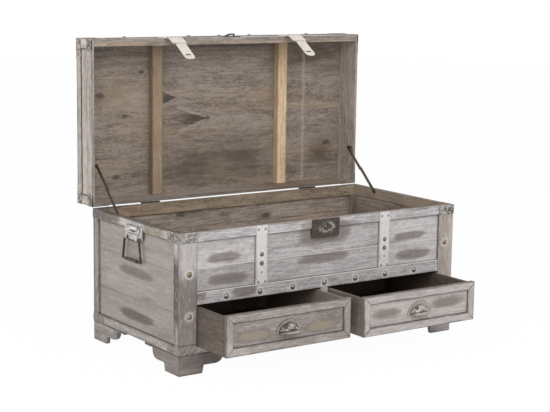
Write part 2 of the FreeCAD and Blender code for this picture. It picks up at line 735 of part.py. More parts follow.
lid_end_frame = (
    (side_strip_y, (lid_low_z, low_stile)),
    (side_strip_y, (high_stile, lid_high_z)),
    (rim_strip_y, (low_stile, high_stile)),
    (roof_strip_y, (low_stile, high_stile)))
node("lid_end_strips", *[
    board(on_side(sign, lid_panel_x, lid_half), y, z)
    for side_name, sign in SIDES
    for y, z in lid_end_frame])
lid_between = (-lid_panel_x, lid_panel_x)
node("lid_long_strips", *[
    board(lid_between, y, z)
    for y in (rim_strip_y, roof_strip_y)
    for z in ((lid_high_panel, lid_high_z), (lid_low_z, lid_low_panel))])
roof_skin = (lid_roof_y, lid_top_y)
roof_rail_low = lid_low_z + lid_rail
roof_rail_high = lid_high_z - lid_rail
node("lid_top_strips", *(
    [board((-lid_half, lid_half), roof_skin, z)
     for z in ((lid_low_z, roof_rail_low), (roof_rail_high, lid_high_z))]
    + [board(span, roof_skin, (roof_rail_low, roof_rail_high)) for span in (
        (-lid_half, stile_width - lid_half),
        (-batten_outer, -batten_inner),
        (batten_inner, batten_outer),
        (lid_half - stile_width, lid_half))]))


# Hinges: knuckled leaves on the back of the chest and of the lid, on a common pin line
hinge_clear = hinge_barrel + turning_gap


def knuckle_spans(middle, width):
    """Three stretches of a barrel about a middle, parted by the turning gap."""
    third = width / 3
    edge = turning_gap / 2
    low = middle - width / 2
    return [(low + third * step + edge, low + third * (step + 1) - edge) for step in range(3)]


def bored(pieces, radius, x, y, z):
    """One solid of several pieces, with a pin's bore right through."""
    return cut(fused(*pieces), rod_across(radius + turning_gap, x, y, z))


def carcass_leaf(middle):
    """The leaf below the pin, with the two outer knuckles."""
    skin = (back, back + hinge_leaf)
    pieces = [board(about(middle, hinge_width), skin, (axis_z - hinge_reach, axis_z - hinge_clear))]
    for span in knuckle_spans(middle, hinge_width)[::2]:
        pieces.append(board(span, skin, (axis_z - hinge_clear, axis_z)))
        pieces.append(rod_across(hinge_barrel, span, axis_y, axis_z))
    return bored(pieces, hinge_pin, about(middle, hinge_width), axis_y, axis_z)


def lid_leaf(middle):
    """The leaf under the open lid's back, with the middle knuckle."""
    second = knuckle_spans(middle, hinge_width)[1]
    skin = (lid_low_z - hinge_leaf, lid_low_z)
    pieces = [
        board(about(middle, hinge_width), (axis_y + hinge_clear, axis_y + hinge_reach), skin),
        board(second, (axis_y, axis_y + hinge_clear), skin),
        rod_across(hinge_barrel, second, axis_y, axis_z),
    ]
    return bored(pieces, hinge_pin, about(middle, hinge_width), axis_y, axis_z)


def hinge_rod(middle):
    """The pin through all three knuckles."""
    return rod_across(hinge_pin, about(middle, hinge_width), axis_y, axis_z)


hinge_middles = [hinge_place * sign for side_name, sign in SIDES]
node("hinge_leaves", *[
    make(middle) for middle in hinge_middles for make in (carcass_leaf, hinge_rod)])
node("lid_hinge_leaves", *[lid_leaf(middle) for middle in hinge_middles])

# Stays: two straps in line between a pin on the rim cleat and a pin on the lid's end wall
stay_foot_y = axis_y - stay_foot_ahead
stay_foot_z = rim_height - stay_foot_drop
stay_top_y = axis_y + stay_head_back
stay_top_z = axis_z + stay_head_rise
stay_run = stay_top_y - stay_foot_y
stay_climb = stay_top_z - stay_foot_z
stay_span = place("stay_span", slant(stay_run, stay_climb))
stay_slope = tilt(stay_run, stay_climb)
stay_upper = stay_span - stay_lower
elbow_y = stay_foot_y + stay_run * stay_lower / stay_span
elbow_z = stay_foot_z + stay_climb * stay_lower / stay_span
cleat_face = wall_x - end_cleat
lower_far = cleat_face - turning_gap
lower_near = lower_far - stay_sheet
upper_far = lower_near - turning_gap * 2
upper_near = upper_far - stay_sheet
head_rise = stay_sheet / 2


def stay_strap(length, hole, x, y, z):
    """One strap of a stay, with a hole for its pin at one end, sloping up and back."""
    body = plate(
        "YZ_Plane", strap(length, stay_width / 2), stay_sheet, rings=[(hole, 0, stay_pin + turning_gap)])
    return set_at(body, x, y, z, AXIS_X, stay_slope)


def stay_post(sign, near, root, y, z):
    """A pin from its root through its strap to the head that holds the strap on."""
    face = near - turning_gap
    return fused(
        rod_across(stay_pin, on_side(sign, face, root), y, z),
        rod_across(stay_head, on_side(sign, face - head_rise, face), y, z))


lower_posts = []
upper_posts = []
for side_name, sign in SIDES:
    lower_x = on_side(sign, lower_near, lower_far)
    upper_x = on_side(sign, upper_near, upper_far)
    node(f"stay_lower_{side_name}", stay_strap(stay_lower, 0, lower_x[0], stay_foot_y, stay_foot_z))
    upper = stay_strap(stay_upper, stay_upper, upper_x[0], elbow_y, elbow_z)
    rivet = rod_across(stay_head, on_side(sign, upper_near - head_rise, upper_near), elbow_y, elbow_z)
    node(f"stay_upper_{side_name}", fused(upper, rivet))
    lower_posts.append(stay_post(sign, lower_near, cleat_face, stay_foot_y, stay_foot_z))
    shoulder = on_side(sign, upper_far + turning_gap, lid_wall_x)
    upper_posts.append(fused(
        stay_post(sign, upper_near, lid_wall_x, stay_top_y, stay_top_z),
        rod_across(stay_head, shoulder, stay_top_y, stay_top_z)))
node("stay_pins", *lower_posts)
node("lid_stay_pins", *upper_posts)

# Hasps: a base on the lid's front, a link that droops from it and a slotted tongue
hasp_clear = hasp_barrel + turning_gap
hasp_y = lid_rim_y - hasp_overreach
hasp_z = lid_high_z + hasp_barrel
fold_y = hasp_y - hasp_link * cosine(link_droop)
fold_z = hasp_z - hasp_link * sine(link_droop)
tongue_side = hasp_tongue_width / 2
tip_flat = tongue_side - hasp_tip_round


def hasp_base(middle):
    """The plate screwed to the lid's front, past its rim to the two outer knuckles."""
    skin = (lid_high_z, lid_high_z + hasp_sheet)
    pieces = [board(about(middle, hasp_width), (hasp_y + hasp_clear, hasp_y + hasp_base_reach), skin)]
    for span in knuckle_spans(middle, hasp_width)[::2]:
        pieces.append(board(span, (hasp_y, hasp_y + hasp_clear), skin))
        pieces.append(rod_across(hasp_barrel, span, hasp_y, hasp_z))
    return bored(pieces, hasp_pin, about(middle, hasp_width), hasp_y, hasp_z)


def hasp_rod(middle):
    """The pin through the base's and the link's knuckles."""
    return rod_across(hasp_pin, about(middle, hasp_width), hasp_y, hasp_z)


def hasp_link_piece():
    """The wide link about its own pin at the origin, running forwards to the fold."""
    zero = 0 * hasp_link
    second = knuckle_spans(zero, hasp_width)[1]
    skin = (zero, hasp_sheet)
    pieces = [
        board(about(zero, hasp_width), (hasp_clear - hasp_link, -hasp_clear), skin),
        board(second, (-hasp_clear, zero), skin),
        rod_across(hasp_barrel, second, 0, 0),
    ]
    for span in knuckle_spans(zero, hasp_tongue_width)[::2]:
        pieces.append(board(span, (-hasp_link, hasp_clear - hasp_link), skin))
        pieces.append(rod_across(hasp_barrel, span, -hasp_link, 0))
    through = about(zero, hasp_width)
    once = bored(pieces, hasp_pin, through, 0, 0)
    return cut(once, rod_across(hasp_pin + turning_gap, through, -hasp_link, 0))


def hasp_tongue_piece():
    """The tongue about the fold's pin at the origin, with its slot, hole and round tip."""
    zero = 0 * hasp_link
    tip = -hasp_tongue
    slot_low = -hasp_slot - hasp_slot_height / 2
    slot_high = hasp_slot_height / 2 - hasp_slot
    slot_side = hasp_slot_width / 2
    body = plate(
        "XY_Plane",
        [
            (-tongue_side, -hasp_clear),
            (-tongue_side, tip + hasp_tip_round, -tip_flat, tip + hasp_tip_round),
            (-tip_flat, tip),
            (tip_flat, tip, tip_flat, tip + hasp_tip_round),
            (tongue_side, tip + hasp_tip_round),
            (tongue_side, -hasp_clear),
        ],
        hasp_sheet,
        rings=[(0, -hasp_hole, hasp_hole_radius)],
        slots=[[
            (-slot_side, slot_low),
            (slot_side, slot_low),
            (slot_side, slot_high),
            (-slot_side, slot_high),
        ]])
    second = knuckle_spans(zero, hasp_tongue_width)[1]
    pieces = [
        body,
        board(second, (-hasp_clear, zero), (zero, hasp_sheet)),
        rod_across(hasp_barrel, second, 0, 0),
    ]
    return bored(pieces, hasp_pin, about(zero, hasp_tongue_width), 0, 0)


hasp_middles = [batten_offset * sign for side_name, sign in SIDES]
node("hasp_bases", *[make(middle) for middle in hasp_middles for make in (hasp_base, hasp_rod)])
for (side_name, sign), middle in zip(SIDES, hasp_middles):
    link = set_at(hasp_link_piece(), middle, hasp_y, hasp_z, AXIS_X, link_droop)
    fold_pin = rod_across(hasp_pin, about(middle, hasp_tongue_width), fold_y, fold_z)
    node(f"hasp_link_{side_name}", link, fold_pin)
    node(f"hasp_tongue_{side_name}", set_at(
        hasp_tongue_piece(), middle, fold_y, fold_z, AXIS_X, tongue_droop))

# Pegs on the front straps, where the closed hasps' slots drop over them
peg_z = axis_z - (axis_y - hasp_y) - hasp_link - hasp_slot
node("hasp_pegs", *[
    fused(
        rod(peg_radius, peg_reach, middle, front, peg_z, AXIS_X, 90),
        rod(peg_collar, peg_collar_rise, middle, front, peg_z, AXIS_X, 90))
    for middle in hasp_middles])


# Lift ring on the lid's front, over the lock
def lift_ring():
    """A half ring that leans up from its plate towards the rim."""
    skin = (lid_high_z, lid_high_z + hasp_sheet)
    base = board(about(0 * half, catch_width), (lid_rim_y, lid_rim_y + catch_depth), skin)
    wire = doc.addObject("Part::Torus", "Ring")
    wire.setExpression("Radius1", catch_ring.text)
    wire.setExpression("Radius2", catch_wire.text)
    wire.Angle3 = 180
    root_y = lid_rim_y + catch_ring + catch_wire * 2
    set_at(wire, 0, root_y, lid_high_z + catch_wire, AXIS_X, 180 - catch_tilt)
    return fused(base, wire)


node("lift_ring", lift_ring())

# Bails: a plate with two ears on each end, and a drop handle that hangs in the ears
bail_plate_z = rim_height - bail_plate_drop - bail_plate_height
bail_axis_z = bail_plate_z + bail_axis_rise
bail_boss_z = rim_height - bail_plate_drop - bail_boss_drop - bail_boss_height
bail_axis_x = half + bail_plate_sheet + bail_ear_out
ear_far = bail_top / 2 - bail_wire - turning_gap


def bail_plate(sign):
    """The plate with its oval boss and its two bored ears."""
    body = plate(
        "YZ_Plane",
        rounded(bail_plate_width, 0 * half, bail_plate_height, bail_plate_round, bail_plate_round),
        bail_plate_sheet,
        reverse=sign == LEFT)
    set_at(body, half * sign, middle_y, bail_plate_z)
    boss = plate(
        "YZ_Plane",
        rounded(bail_boss_width, 0 * half, bail_boss_height, bail_boss_round, bail_boss_round),
        bail_plate_sheet + bail_boss_rise,
        reverse=sign == LEFT)
    set_at(boss, half * sign, middle_y, bail_boss_z)
    axis_x = bail_axis_x * sign
    ears = [
        rod(bail_ear, bail_ear_length, axis_x, middle_y + start, bail_axis_z, AXIS_X, -90)
        for start in (-ear_far, ear_far - bail_ear_length)]
    bore = rod(
        bail_wire + turning_gap, bail_top, axis_x, middle_y - bail_top / 2, bail_axis_z, AXIS_X, -90)
    return cut(fused(body, boss, *ears), bore)


def ball(radius, x, y, z):
    """A round corner between two rods."""
    sphere = doc.addObject("Part::Sphere", "Ball")
    sphere.setExpression("Radius", radius.text)
    return set_at(sphere, x, y, z)


def rod_along(radius, length, x, middle, z):
    """A round rod along Y, about a middle."""
    return rod(radius, length, x, middle - length / 2, z, AXIS_X, -90)


def bail_piece(sign):
    """The drop handle: two splayed legs between round corners, a thicker grip, and turned-in ends."""
    axis_x = bail_axis_x * sign
    grip_z = bail_axis_z - bail_drop
    splay = (bail_foot - bail_top) / 2
    leg = slant(splay, bail_drop)
    lean = tilt(bail_drop, splay)
    pin = bail_top / 2 - (ear_far - bail_ear_length)
    pieces = [
        rod_along(bail_wire, bail_foot, axis_x, middle_y, grip_z),
        rod_along(bail_grip, bail_grip_length, axis_x, middle_y, grip_z),
    ]
    for end in (LEFT, RIGHT):
        top_y = middle_y + bail_top / 2 * end
        low_y = middle_y + bail_foot / 2 * end
        pieces += [
            ball(bail_wire, axis_x, top_y, bail_axis_z),
            ball(bail_wire, axis_x, low_y, grip_z),
            rod(bail_wire, leg, axis_x, low_y, grip_z, AXIS_X, lean * end),
            rod_along(bail_wire, pin, axis_x, top_y - pin / 2 * end, bail_axis_z),
        ]
    return fused(*pieces)


node("bail_plates", *[bail_plate(sign) for side_name, sign in SIDES])
for side_name, sign in SIDES:
    node(f"bail_{side_name}", bail_piece(sign))


# Drawers
def cup_pull(middle, face, low):
    """A cup pull: the upper front quarter of an egg-shaped shell, with a thin flange round it."""
    def egg(width, depth, height):
        shape = doc.addObject("Part::Ellipsoid", "Egg")
        shape.setExpression("Radius1", height.text)
        shape.setExpression("Radius2", (width / 2).text)
        shape.setExpression("Radius3", depth.text)
        for angle, number in (("Angle1", -90), ("Angle2", 90), ("Angle3", 360)):
            setattr(shape, angle, number)
        return set_at(shape, middle, face, low)

    outside = fused(
        egg(pull_width, pull_depth, pull_height),
        egg(pull_width + pull_flange * 2, pull_flange_rise, pull_height + pull_flange))
    inside = egg(pull_width - pull_wall * 2, pull_depth - pull_wall, pull_height - pull_wall)
    kept = doc.addObject("Part::Common", "Cup")
    kept.Base = cut(outside, inside)
    kept.Tool = board(
        about(middle, pull_width + pull_flange * 4), (face - pull_depth * 2, face),
        (low, low + pull_height * 2))
    return kept


def mitred_frame(x, face, z):
    """Four strips round a drawer front, mitred at the corners."""
    width = x[1] - x[0]
    height = z[1] - z[0]
    inner_x = width - drawer_frame
    inner_z = height - drawer_frame
    outlines = [
        [(0, 0), (width, 0), (inner_x, drawer_frame), (drawer_frame, drawer_frame)],
        [(width, 0), (width, height), (inner_x, inner_z), (inner_x, drawer_frame)],
        [(width, height), (0, height), (drawer_frame, inner_z), (inner_x, inner_z)],
        [(0, height), (0, 0), (drawer_frame, drawer_frame), (drawer_frame, inner_z)],
    ]
    return [set_at(plate("XZ_Plane", corners, drawer_face), x[0], face, z[0]) for corners in outlines]


drawer_z = (drawer_floor_z + drawer_lift, deck_z - drawer_gap)
drawer_side_z = (drawer_z[0], drawer_z[1] - drawer_side_drop)
for (side_name, sign), out in zip(SIDES, (left_out, right_out)):
    x = on_side(sign, divider_width / 2 + drawer_gap, opening_x - drawer_gap)
    face = front - out + drawer_face
    box_front = face + drawer_panel
    box_back = front - out + drawer_length
    box_low = x[0] + drawer_side_inset
    box_high = x[1] - drawer_side_inset
    inside_x = (box_low + drawer_side, box_high - drawer_side)
    base_z = drawer_z[0] + drawer_base_rise
    node(f"drawer_panel_{side_name}", board(x, (face, box_front), drawer_z))
    node(f"drawer_frame_{side_name}", *mitred_frame(x, face, drawer_z))
    node(
        f"drawer_box_{side_name}",
        board((box_low, inside_x[0]), (box_front, box_back), drawer_side_z),
        board((inside_x[1], box_high), (box_front, box_back), drawer_side_z),
        board(inside_x, (box_back - drawer_side, box_back), drawer_side_z))
    node(f"drawer_bottom_{side_name}", board(
        inside_x, (box_front, box_back - drawer_side), (base_z, base_z + drawer_base)))
    pull_low = drawer_z[0] + (drawer_z[1] - drawer_z[0] - pull_height) / 2
    node(f"cup_pull_{side_name}", cup_pull((x[0] + x[1]) / 2, face, pull_low))

doc.recompute()
for item in doc.Objects:
    if "Invalid" in item.State or "Error" in item.State:
        raise RuntimeError(f"{item.Label} could not be worked out: {item.State}")
for part in nodes:
    if part.Shape.isNull() or not part.Shape.isValid():
        raise RuntimeError(f"{part.Label} has no sound shape")
os.makedirs("parts", exist_ok=True)
for part in nodes:
    part.Shape.exportStep(f"parts/{part.Label}.step")
print(len(nodes), "nodes,", sum(len(part.Shape.Solids) for part in nodes), "solids")
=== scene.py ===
"""Looks of a whitewashed mule chest: boards with eased edges, fittings, finishes and a plain studio."""
import json
import math
from functools import reduce

import bpy
import numpy as np
from mathutils import Matrix, Vector

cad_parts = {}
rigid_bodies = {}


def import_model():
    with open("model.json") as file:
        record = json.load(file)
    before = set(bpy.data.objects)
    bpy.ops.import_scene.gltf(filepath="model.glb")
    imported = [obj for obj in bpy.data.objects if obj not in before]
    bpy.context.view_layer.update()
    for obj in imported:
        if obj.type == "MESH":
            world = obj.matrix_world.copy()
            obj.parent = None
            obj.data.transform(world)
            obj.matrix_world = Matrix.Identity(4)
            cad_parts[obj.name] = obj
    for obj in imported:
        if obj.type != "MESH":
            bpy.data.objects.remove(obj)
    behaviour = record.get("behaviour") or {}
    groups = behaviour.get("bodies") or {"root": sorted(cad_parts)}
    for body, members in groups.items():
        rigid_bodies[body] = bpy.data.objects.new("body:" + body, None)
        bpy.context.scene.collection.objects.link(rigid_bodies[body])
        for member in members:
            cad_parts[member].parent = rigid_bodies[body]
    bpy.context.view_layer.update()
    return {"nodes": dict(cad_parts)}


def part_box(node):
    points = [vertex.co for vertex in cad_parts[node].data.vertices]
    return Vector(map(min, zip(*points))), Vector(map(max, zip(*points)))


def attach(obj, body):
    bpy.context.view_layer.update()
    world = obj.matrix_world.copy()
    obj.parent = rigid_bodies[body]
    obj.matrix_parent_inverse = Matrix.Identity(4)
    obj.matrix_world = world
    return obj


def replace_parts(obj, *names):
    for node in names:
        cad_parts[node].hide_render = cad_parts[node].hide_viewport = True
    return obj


bl_info = {
    "name": "Mule chest",
    "version": (1, 0, 0),
    "blender": (4, 5, 0),
    "location": "View3D > Sidebar > Chest",
    "description": "Boards, fittings and finishes of a whitewashed mule chest",
    "category": "Object",
}

for item in list(bpy.data.objects):
    bpy.data.objects.remove(item)
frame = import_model()

X, Y, Z = range(3)
SIDES = (("left", -1), ("right", 1))

# Places on the solids, in metres
TRUNK_MIDDLE = np.array((0.0, 0.045, 0.25))
LID_MIDDLE = np.array((0.0, 0.347, 0.66))
END_X = 0.5
FRONT_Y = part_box("front_rails")[0].y
RIM_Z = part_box("front_rails")[1].z
BACK_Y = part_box("back_strips")[1].y
PLATE_LOW, PLATE_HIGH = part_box("bail_plates")
HANDLE_Y = (PLATE_LOW.y + PLATE_HIGH.y) / 2
HANDLE_Z = RIM_Z - 0.026
KEYHOLE_Z = RIM_Z - 0.024
KEYHOLE_RADIUS = 0.0072
LOCK_FACE_Y = FRONT_Y - 0.002
# Where the hasps fold: their finish paints a dark line of painted shadow there.
HASP_FOLDS = [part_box(node)[0].y + 0.0025 for node in ("hasp_bases", "hasp_link_left")]
STRAP_X = 0.225
STRAP_TACKS = [(shift, level) for shift in (-0.012, 0.012) for level in (0.392, 0.240)]
STRAP_TACK_RADIUS = 0.0034
STRAP_PIN_Z = 0.268
CAP_SHEET = 0.001
CAP_TACK_LEVELS = (0.389, 0.069)


def linear(*levels):
    """Screen levels from 0 to 255 turned into the linear values that shaders take."""
    shares = np.array(levels) / 255
    return tuple(np.where(shares > 0.04045, ((shares + 0.055) / 1.055) ** 2.4, shares / 12.92))


def paint(name, description, *levels):
    """A colour that a user may change."""
    return bpy.props.FloatVectorProperty(
        name=name, description=description, subtype="COLOR", size=3, min=0, max=1, default=linear(*levels))


def number(name, description, default, **kind):
    """A number that a user may change."""
    return bpy.props.FloatProperty(name=name, description=description, default=default, **kind)


class ChestColours(bpy.types.PropertyGroup):
    """Colours of the chest's finishes."""

    front_wash: paint("Front wash", "Whitewash on the front", 194, 190, 191)
    front_under: paint("Front ground", "Wood that shows through the front's wash", 122, 115, 113)
    stile_wash: paint("Stile wash", "Whitewash on the corner stiles", 158, 152, 148)
    end_wash: paint("End wash", "Whitewash on the ends and the back", 164, 154, 148)
    end_under: paint("End ground", "Wood that shows through the ends' wash", 106, 96, 89)
    strap_wash: paint("Strap wash", "Dense wash on the front's straps", 212, 207, 205)
    lid_wash: paint("Lid wash", "Whitewash outside the lid", 200, 190, 182)
    drawer_wash: paint("Drawer wash", "Whitewash on the drawer fronts", 166, 157, 152)
    drawer_under: paint("Drawer ground", "Wood that shows through the drawer fronts", 104, 95, 90)
    foot_wash: paint("Foot wash", "Whitewash on the feet", 160, 154, 148)
    # Chalk also paints highlights: the pale seam lines and the handle plates' ridge are painted highlights.
    chalk: paint("Chalk", "White lines along the planks' seams", 232, 228, 225)
    rub: paint("Rubbed marks", "Ground colour of the rubbed oval marks", 108, 97, 92)
    drawer_rub: paint("Left drawer marks", "Middle of the rubbed marks on the left drawer", 144, 135, 115)
    drawer_rub_grey: paint("Right drawer marks", "Middle of the rubbed marks on the right drawer", 122, 114, 100)
    # Grime: dirt in the joints, and also the painted shade in the dark lines where parts meet and under the nails'
    # rims.
    grime_and_shade: paint("Grime", "Dirt in the joints", 56, 49, 44)
    inside_pale: paint("Inside pale", "Pale grain of the unpainted inside", 156, 143, 132)
    inside_dark: paint("Inside dark", "Dark grain of the unpainted inside", 88, 75, 64)
    inside_chalk: paint("Inside scratches", "Pale scratches on the unpainted inside", 188, 176, 164)
    bark: paint("Bark", "Hearts of the knots and the bark beside them", 66, 56, 48)
    cleat: paint("Cleats", "Tan wood of the rim's cleats", 164, 146, 124)
    trunk_pale: paint("Trunk pale", "Pale grain inside the trunk", 170, 157, 146)
    trunk_dark: paint("Trunk dark", "Dark grain inside the trunk", 98, 85, 74)
    lid_wall: paint("Lid walls", "Pale grain inside the lid's walls", 200, 188, 178)
    lid_cleat: paint("Lid cleat", "Tan wood of the cleat inside the lid's front", 206, 188, 167)
    pine: paint("Pine", "Bare pine of the lid's battens", 234, 208, 175)
    pine_dark: paint("Pine grain", "Grain of the bare pine", 184, 154, 118)
    drawer_wood: paint("Drawer sides", "Brown wood of the drawer boxes", 112, 100, 91)
    drawer_wood_dark: paint("Drawer side grain", "Grain of the drawer boxes", 74, 63, 54)
    cap: paint("Caps", "Washed metal of the caps, pulls and handle plates", 166, 160, 154)
    lid_cap: paint("Lid caps", "Washed metal of the lid's caps", 192, 182, 173)
    # Cap hollows: also the painted shade and shadow on the handle plates, the cups and their flanges, and the
    # painted shadow along the hasps' folds.
    cap_dark: paint("Cap hollows", "Dark hollows of the pressed metal", 60, 53, 46)
    hasp: paint("Hasps", "Pale metal of the hasps", 218, 210, 201)
    iron: paint("Iron", "Browned iron of the hinges and the lift ring", 66, 56, 48)
    stay: paint("Stays", "Dark brown of the left stay and the bails", 56, 43, 33)
    # The right stay is painted paler and greyer than the left.
    stay_worn: paint("Worn stay", "Greyer metal of the right stay", 116, 110, 98)
    lock: paint("Lock", "Dark bronze of the lock plate", 68, 59, 49)
    steel: paint("Steel nails", "Dull steel nail heads", 142, 135, 126)
    brass: paint("Brass nails", "Dull brass nail heads", 130, 115, 82)


class ChestSizes(bpy.types.PropertyGroup):
    """Sizes of the small things that the solids leave out."""

    ease: number("Eased edges", "How far the edges of the boards are rounded", 0.0014, min=0, unit="LENGTH")
    tack: number("Tacks", "Radius of the small tacks", 0.0024, min=0, unit="LENGTH")
    tack_rise: number("Tack height", "Height of the small tacks", 0.0009, min=0, unit="LENGTH")
    bead: number("Bead", "Radius of the bead round the keyhole", 0.0011, min=0, unit="LENGTH")


class ChestStage(bpy.types.PropertyGroup):
    """Camera and lamps."""

    camera: bpy.props.FloatVectorProperty(
        name="Camera", description="Where the camera stands", size=3, subtype="TRANSLATION", unit="LENGTH",
        default=(-2.4987, -3.5026, 1.1236))
    yaw: number("Yaw", "Turn from straight at the front", math.radians(35.08), subtype="ANGLE")
    pitch: number("Pitch", "Tilt downwards", math.radians(9.41), subtype="ANGLE")
    roll: number("Roll", "Roll of the camera", math.radians(0.81), subtype="ANGLE")
    lens: number("Lens", "Focal length on a 36 mm wide sensor", 93.84, subtype="DISTANCE_CAMERA")
    sky: number("Sky", "Strength of the even light", 0.62, min=0)
    key: number("Key lamp", "Power of the lamp above the front", 114, min=0, subtype="POWER")
    fill: number("Fill lamp", "Power of the lamp on the left", 42, min=0, subtype="POWER")


# Shader expressions


class Wire:
    """A node's output: arithmetic on it adds Math nodes, and node() adds any other node to its tree."""

    def __init__(self, socket):
        self.socket = socket

    def node(self, kind, settings=None, values=None, output=0):
        return add_node(self.socket.id_data, kind, settings, values, output)

    def math(self, operation, *values):
        return self.node("ShaderNodeMath", {"operation": operation}, dict(enumerate(values)))

    def __add__(self, other):
        return self.math("ADD", self, other)

    def __radd__(self, other):
        return self.math("ADD", other, self)

    def __sub__(self, other):
        return self.math("SUBTRACT", self, other)

    def __rsub__(self, other):
        return self.math("SUBTRACT", other, self)

    def __mul__(self, other):
        return self.math("MULTIPLY", self, other)

    def __rmul__(self, other):
        return self.math("MULTIPLY", other, self)

    def __truediv__(self, other):
        return self.math("DIVIDE", self, other)

    def __rtruediv__(self, other):
        return self.math("DIVIDE", other, self)

    def __abs__(self):
        return self.math("ABSOLUTE", self)

    def least(self, other):
        return self.math("MINIMUM", self, other)

    def most(self, other):
        return self.math("MAXIMUM", self, other)

    def falloff(self):
        """The bell curve: e to the minus this."""
        return self.math("EXPONENT", 0 - self)

    def ramp(self, low, high):
        """A smooth rise from 0 at low to 1 at high."""
        return self.node(
            "ShaderNodeMapRange", {"interpolation_type": "SMOOTHSTEP"}, {0: self, 1: low, 2: high, 3: 0.0, 4: 1.0})

    def split(self):
        """The three parts of a vector."""
        parts = self.node("ShaderNodeSeparateXYZ", None, {0: self}).socket.node.outputs
        return [Wire(part) for part in parts]

    def read(self, name):
        """A vector that the piece's mesh carries under a name."""
        return self.node("ShaderNodeAttribute", {"attribute_name": name}, None, 1)

    def noise(self, along, across, detail=3.0, roughness=0.5, distortion=0.0):
        """Noise with so many cells to the metre along the first axis and across it."""
        spread = self.node("ShaderNodeVectorMath", {"operation": "MULTIPLY"}, {0: self, 1: (along, across, across)})
        return self.node("ShaderNodeTexNoise", None, {
            "Vector": spread, "Scale": 1.0, "Detail": detail, "Roughness": roughness, "Distortion": distortion})


def add_node(tree, kind, settings=None, values=None, output=0):
    """A node of any kind, with its settings first, then the numbers or wires on its inputs."""
    made = tree.nodes.new(kind)
    for key, value in (settings or {}).items():
        setattr(made, key, value)
    for key, value in (values or {}).items():
        if isinstance(value, Wire):
            tree.links.new(value.socket, made.inputs[key])
        else:
            made.inputs[key].default_value = value
    return Wire(made.outputs[output]) if made.outputs else None


def empty_tree(owner):
    """The emptied node tree of a material or a world."""
    owner.use_nodes = True
    owner.node_tree.nodes.clear()
    return owner.node_tree


def new_material(name):
    """An empty material, and where a point is on the chest, in metres."""
    made = bpy.data.materials.new(name)
    return made, add_node(empty_tree(made), "ShaderNodeTexCoord", None, None, 3)


def finish_surface(made, colour, roughness, height, depth, metallic=0.0):
    """The shader: colour and roughness from the wires, and a bump of a given depth in metres."""
    bump = height.node("ShaderNodeBump", None, {"Strength": 0.6, "Distance": depth, "Height": height})
    shader = height.node("ShaderNodeBsdfPrincipled", None, {
        "Base Color": colour, "Roughness": roughness, "Metallic": metallic, "Normal": bump})
    height.node("ShaderNodeOutputMaterial", None, {"Surface": shader})
    return made


def tinted(colour):
    """A colour as sockets take it: a wire as it is, or the chest's colour of that name with full alpha."""
    return colour if isinstance(colour, Wire) else (*getattr(bpy.context.scene.chest_colours, colour), 1.0)


def mixed(share, first, second):
    """Two colours mixed by a share, which is a wire."""
    return share.node("ShaderNodeMix", {"data_type": "RGBA"}, {0: share, 6: tinted(first), 7: tinted(second)}, 2)


def layered(colour, *coats):
    """Coats laid over a colour in turn, each with the share that it covers and its own colour."""
    for share, coat in coats:
        colour = mixed(share, colour, coat)
    return colour


def squares(*sides):
    """The sum of the squares of some wires."""
    return reduce(Wire.__add__, [side * side for side in sides])


def distance(*sides):
    """The length of the slope over some sides."""
    square = squares(*sides)
    return square.math("SQRT", square)


def oval(across, up, mark, ragged, widened=1.0, raised=1.0):
    """A long oval mark, blunter at its ends: 1 inside, fading to 0 at a ragged rim."""
    middle, level, wide, high = mark
    run = (across - middle) / (wide * widened)
    rise = (up - level) / (high * raised)
    return 1 - (squares(run * run, rise) + ragged).ramp(0.3, 1.4)


def nail_rings(across, up, nails):
    """The dark ring of grime and painted shade under each nail's rim and the pale rubbed halo round it."""
    nearest = reduce(Wire.least, [
        distance(across - middle, up - level) - radius for middle, level, radius in nails])
    return 1 - nearest.ramp(0.0005, 0.0035), 1 - nearest.ramp(0.002, 0.012)


def near_line(value, levels, width):
    """Thin lines at some levels of a coordinate: 1 on a line, fading to 0 within a width."""
    return 1 - reduce(Wire.least, [abs(value - level) for level in levels]).ramp(0.0, width)


def knotted(place, grain, knots):
    """Grain that bends round knots, and how dark each knot makes the wood."""
    ragged = (grain.noise(70, 130, 5, 0.75) - 0.5) * 2.6
    cores, pushes = [], []
    for across, up, wide in knots:
        run = (place[X] - across) / (wide * 3.2)
        lift = place[Z] - up
        rise = lift / wide
        cores.append(1 - (run * run * 4.0 + rise * rise * 1.6 + ragged).ramp(0.1, 1.3))
        pushes.append(squares(run, rise).falloff() * lift * 1.4)
    shift = grain.node("ShaderNodeCombineXYZ", None, {Z: reduce(Wire.__add__, pushes)})
    bent = grain.node("ShaderNodeVectorMath", {"operation": "SUBTRACT"}, {0: grain, 1: shift})
    return bent, reduce(Wire.most, cores)


def brush_work(grain):
    """Fine grain, brush strokes and broad patches of a board whose grain runs along the first axis."""
    return grain.noise(75, 480, 3, 0.6), grain.noise(12, 170, 6, 0.68), grain.noise(3.6, 24, 5, 0.6, 0.5)


def board_rim(grain, ragged):
    """How near a point is to its board's edges, 1 on the edge and fading inwards raggedly, and the
    board's own random share."""
    along, across = grain.read("spot").split()[:2]
    half_length, half_width, chance = grain.read("reach").split()
    nearest = (half_length - abs(along)).least(half_width - abs(across))
    return 1 - (nearest + (ragged - 0.5) * 0.014).ramp(0.0, 0.0045), chance


def stretch(place, ragged, limits):
    """A stretch between limits along some axes: 1 inside, fading raggedly to 0."""
    shares = []
    for axis, low, high in limits:
        soft = min(0.02, (high - low) / 3)
        value = place[axis] + ragged * soft * 4
        shares.append(value.ramp(low - soft, low + soft) * (1 - value.ramp(high - soft, high + soft)))
    return reduce(Wire.__mul__, shares)


def stained(place, ragged, stains):
    """The coats of some stained stretches."""
    return [(stretch(place, ragged, limits) * share, colour) for colour, share, *limits in stains]


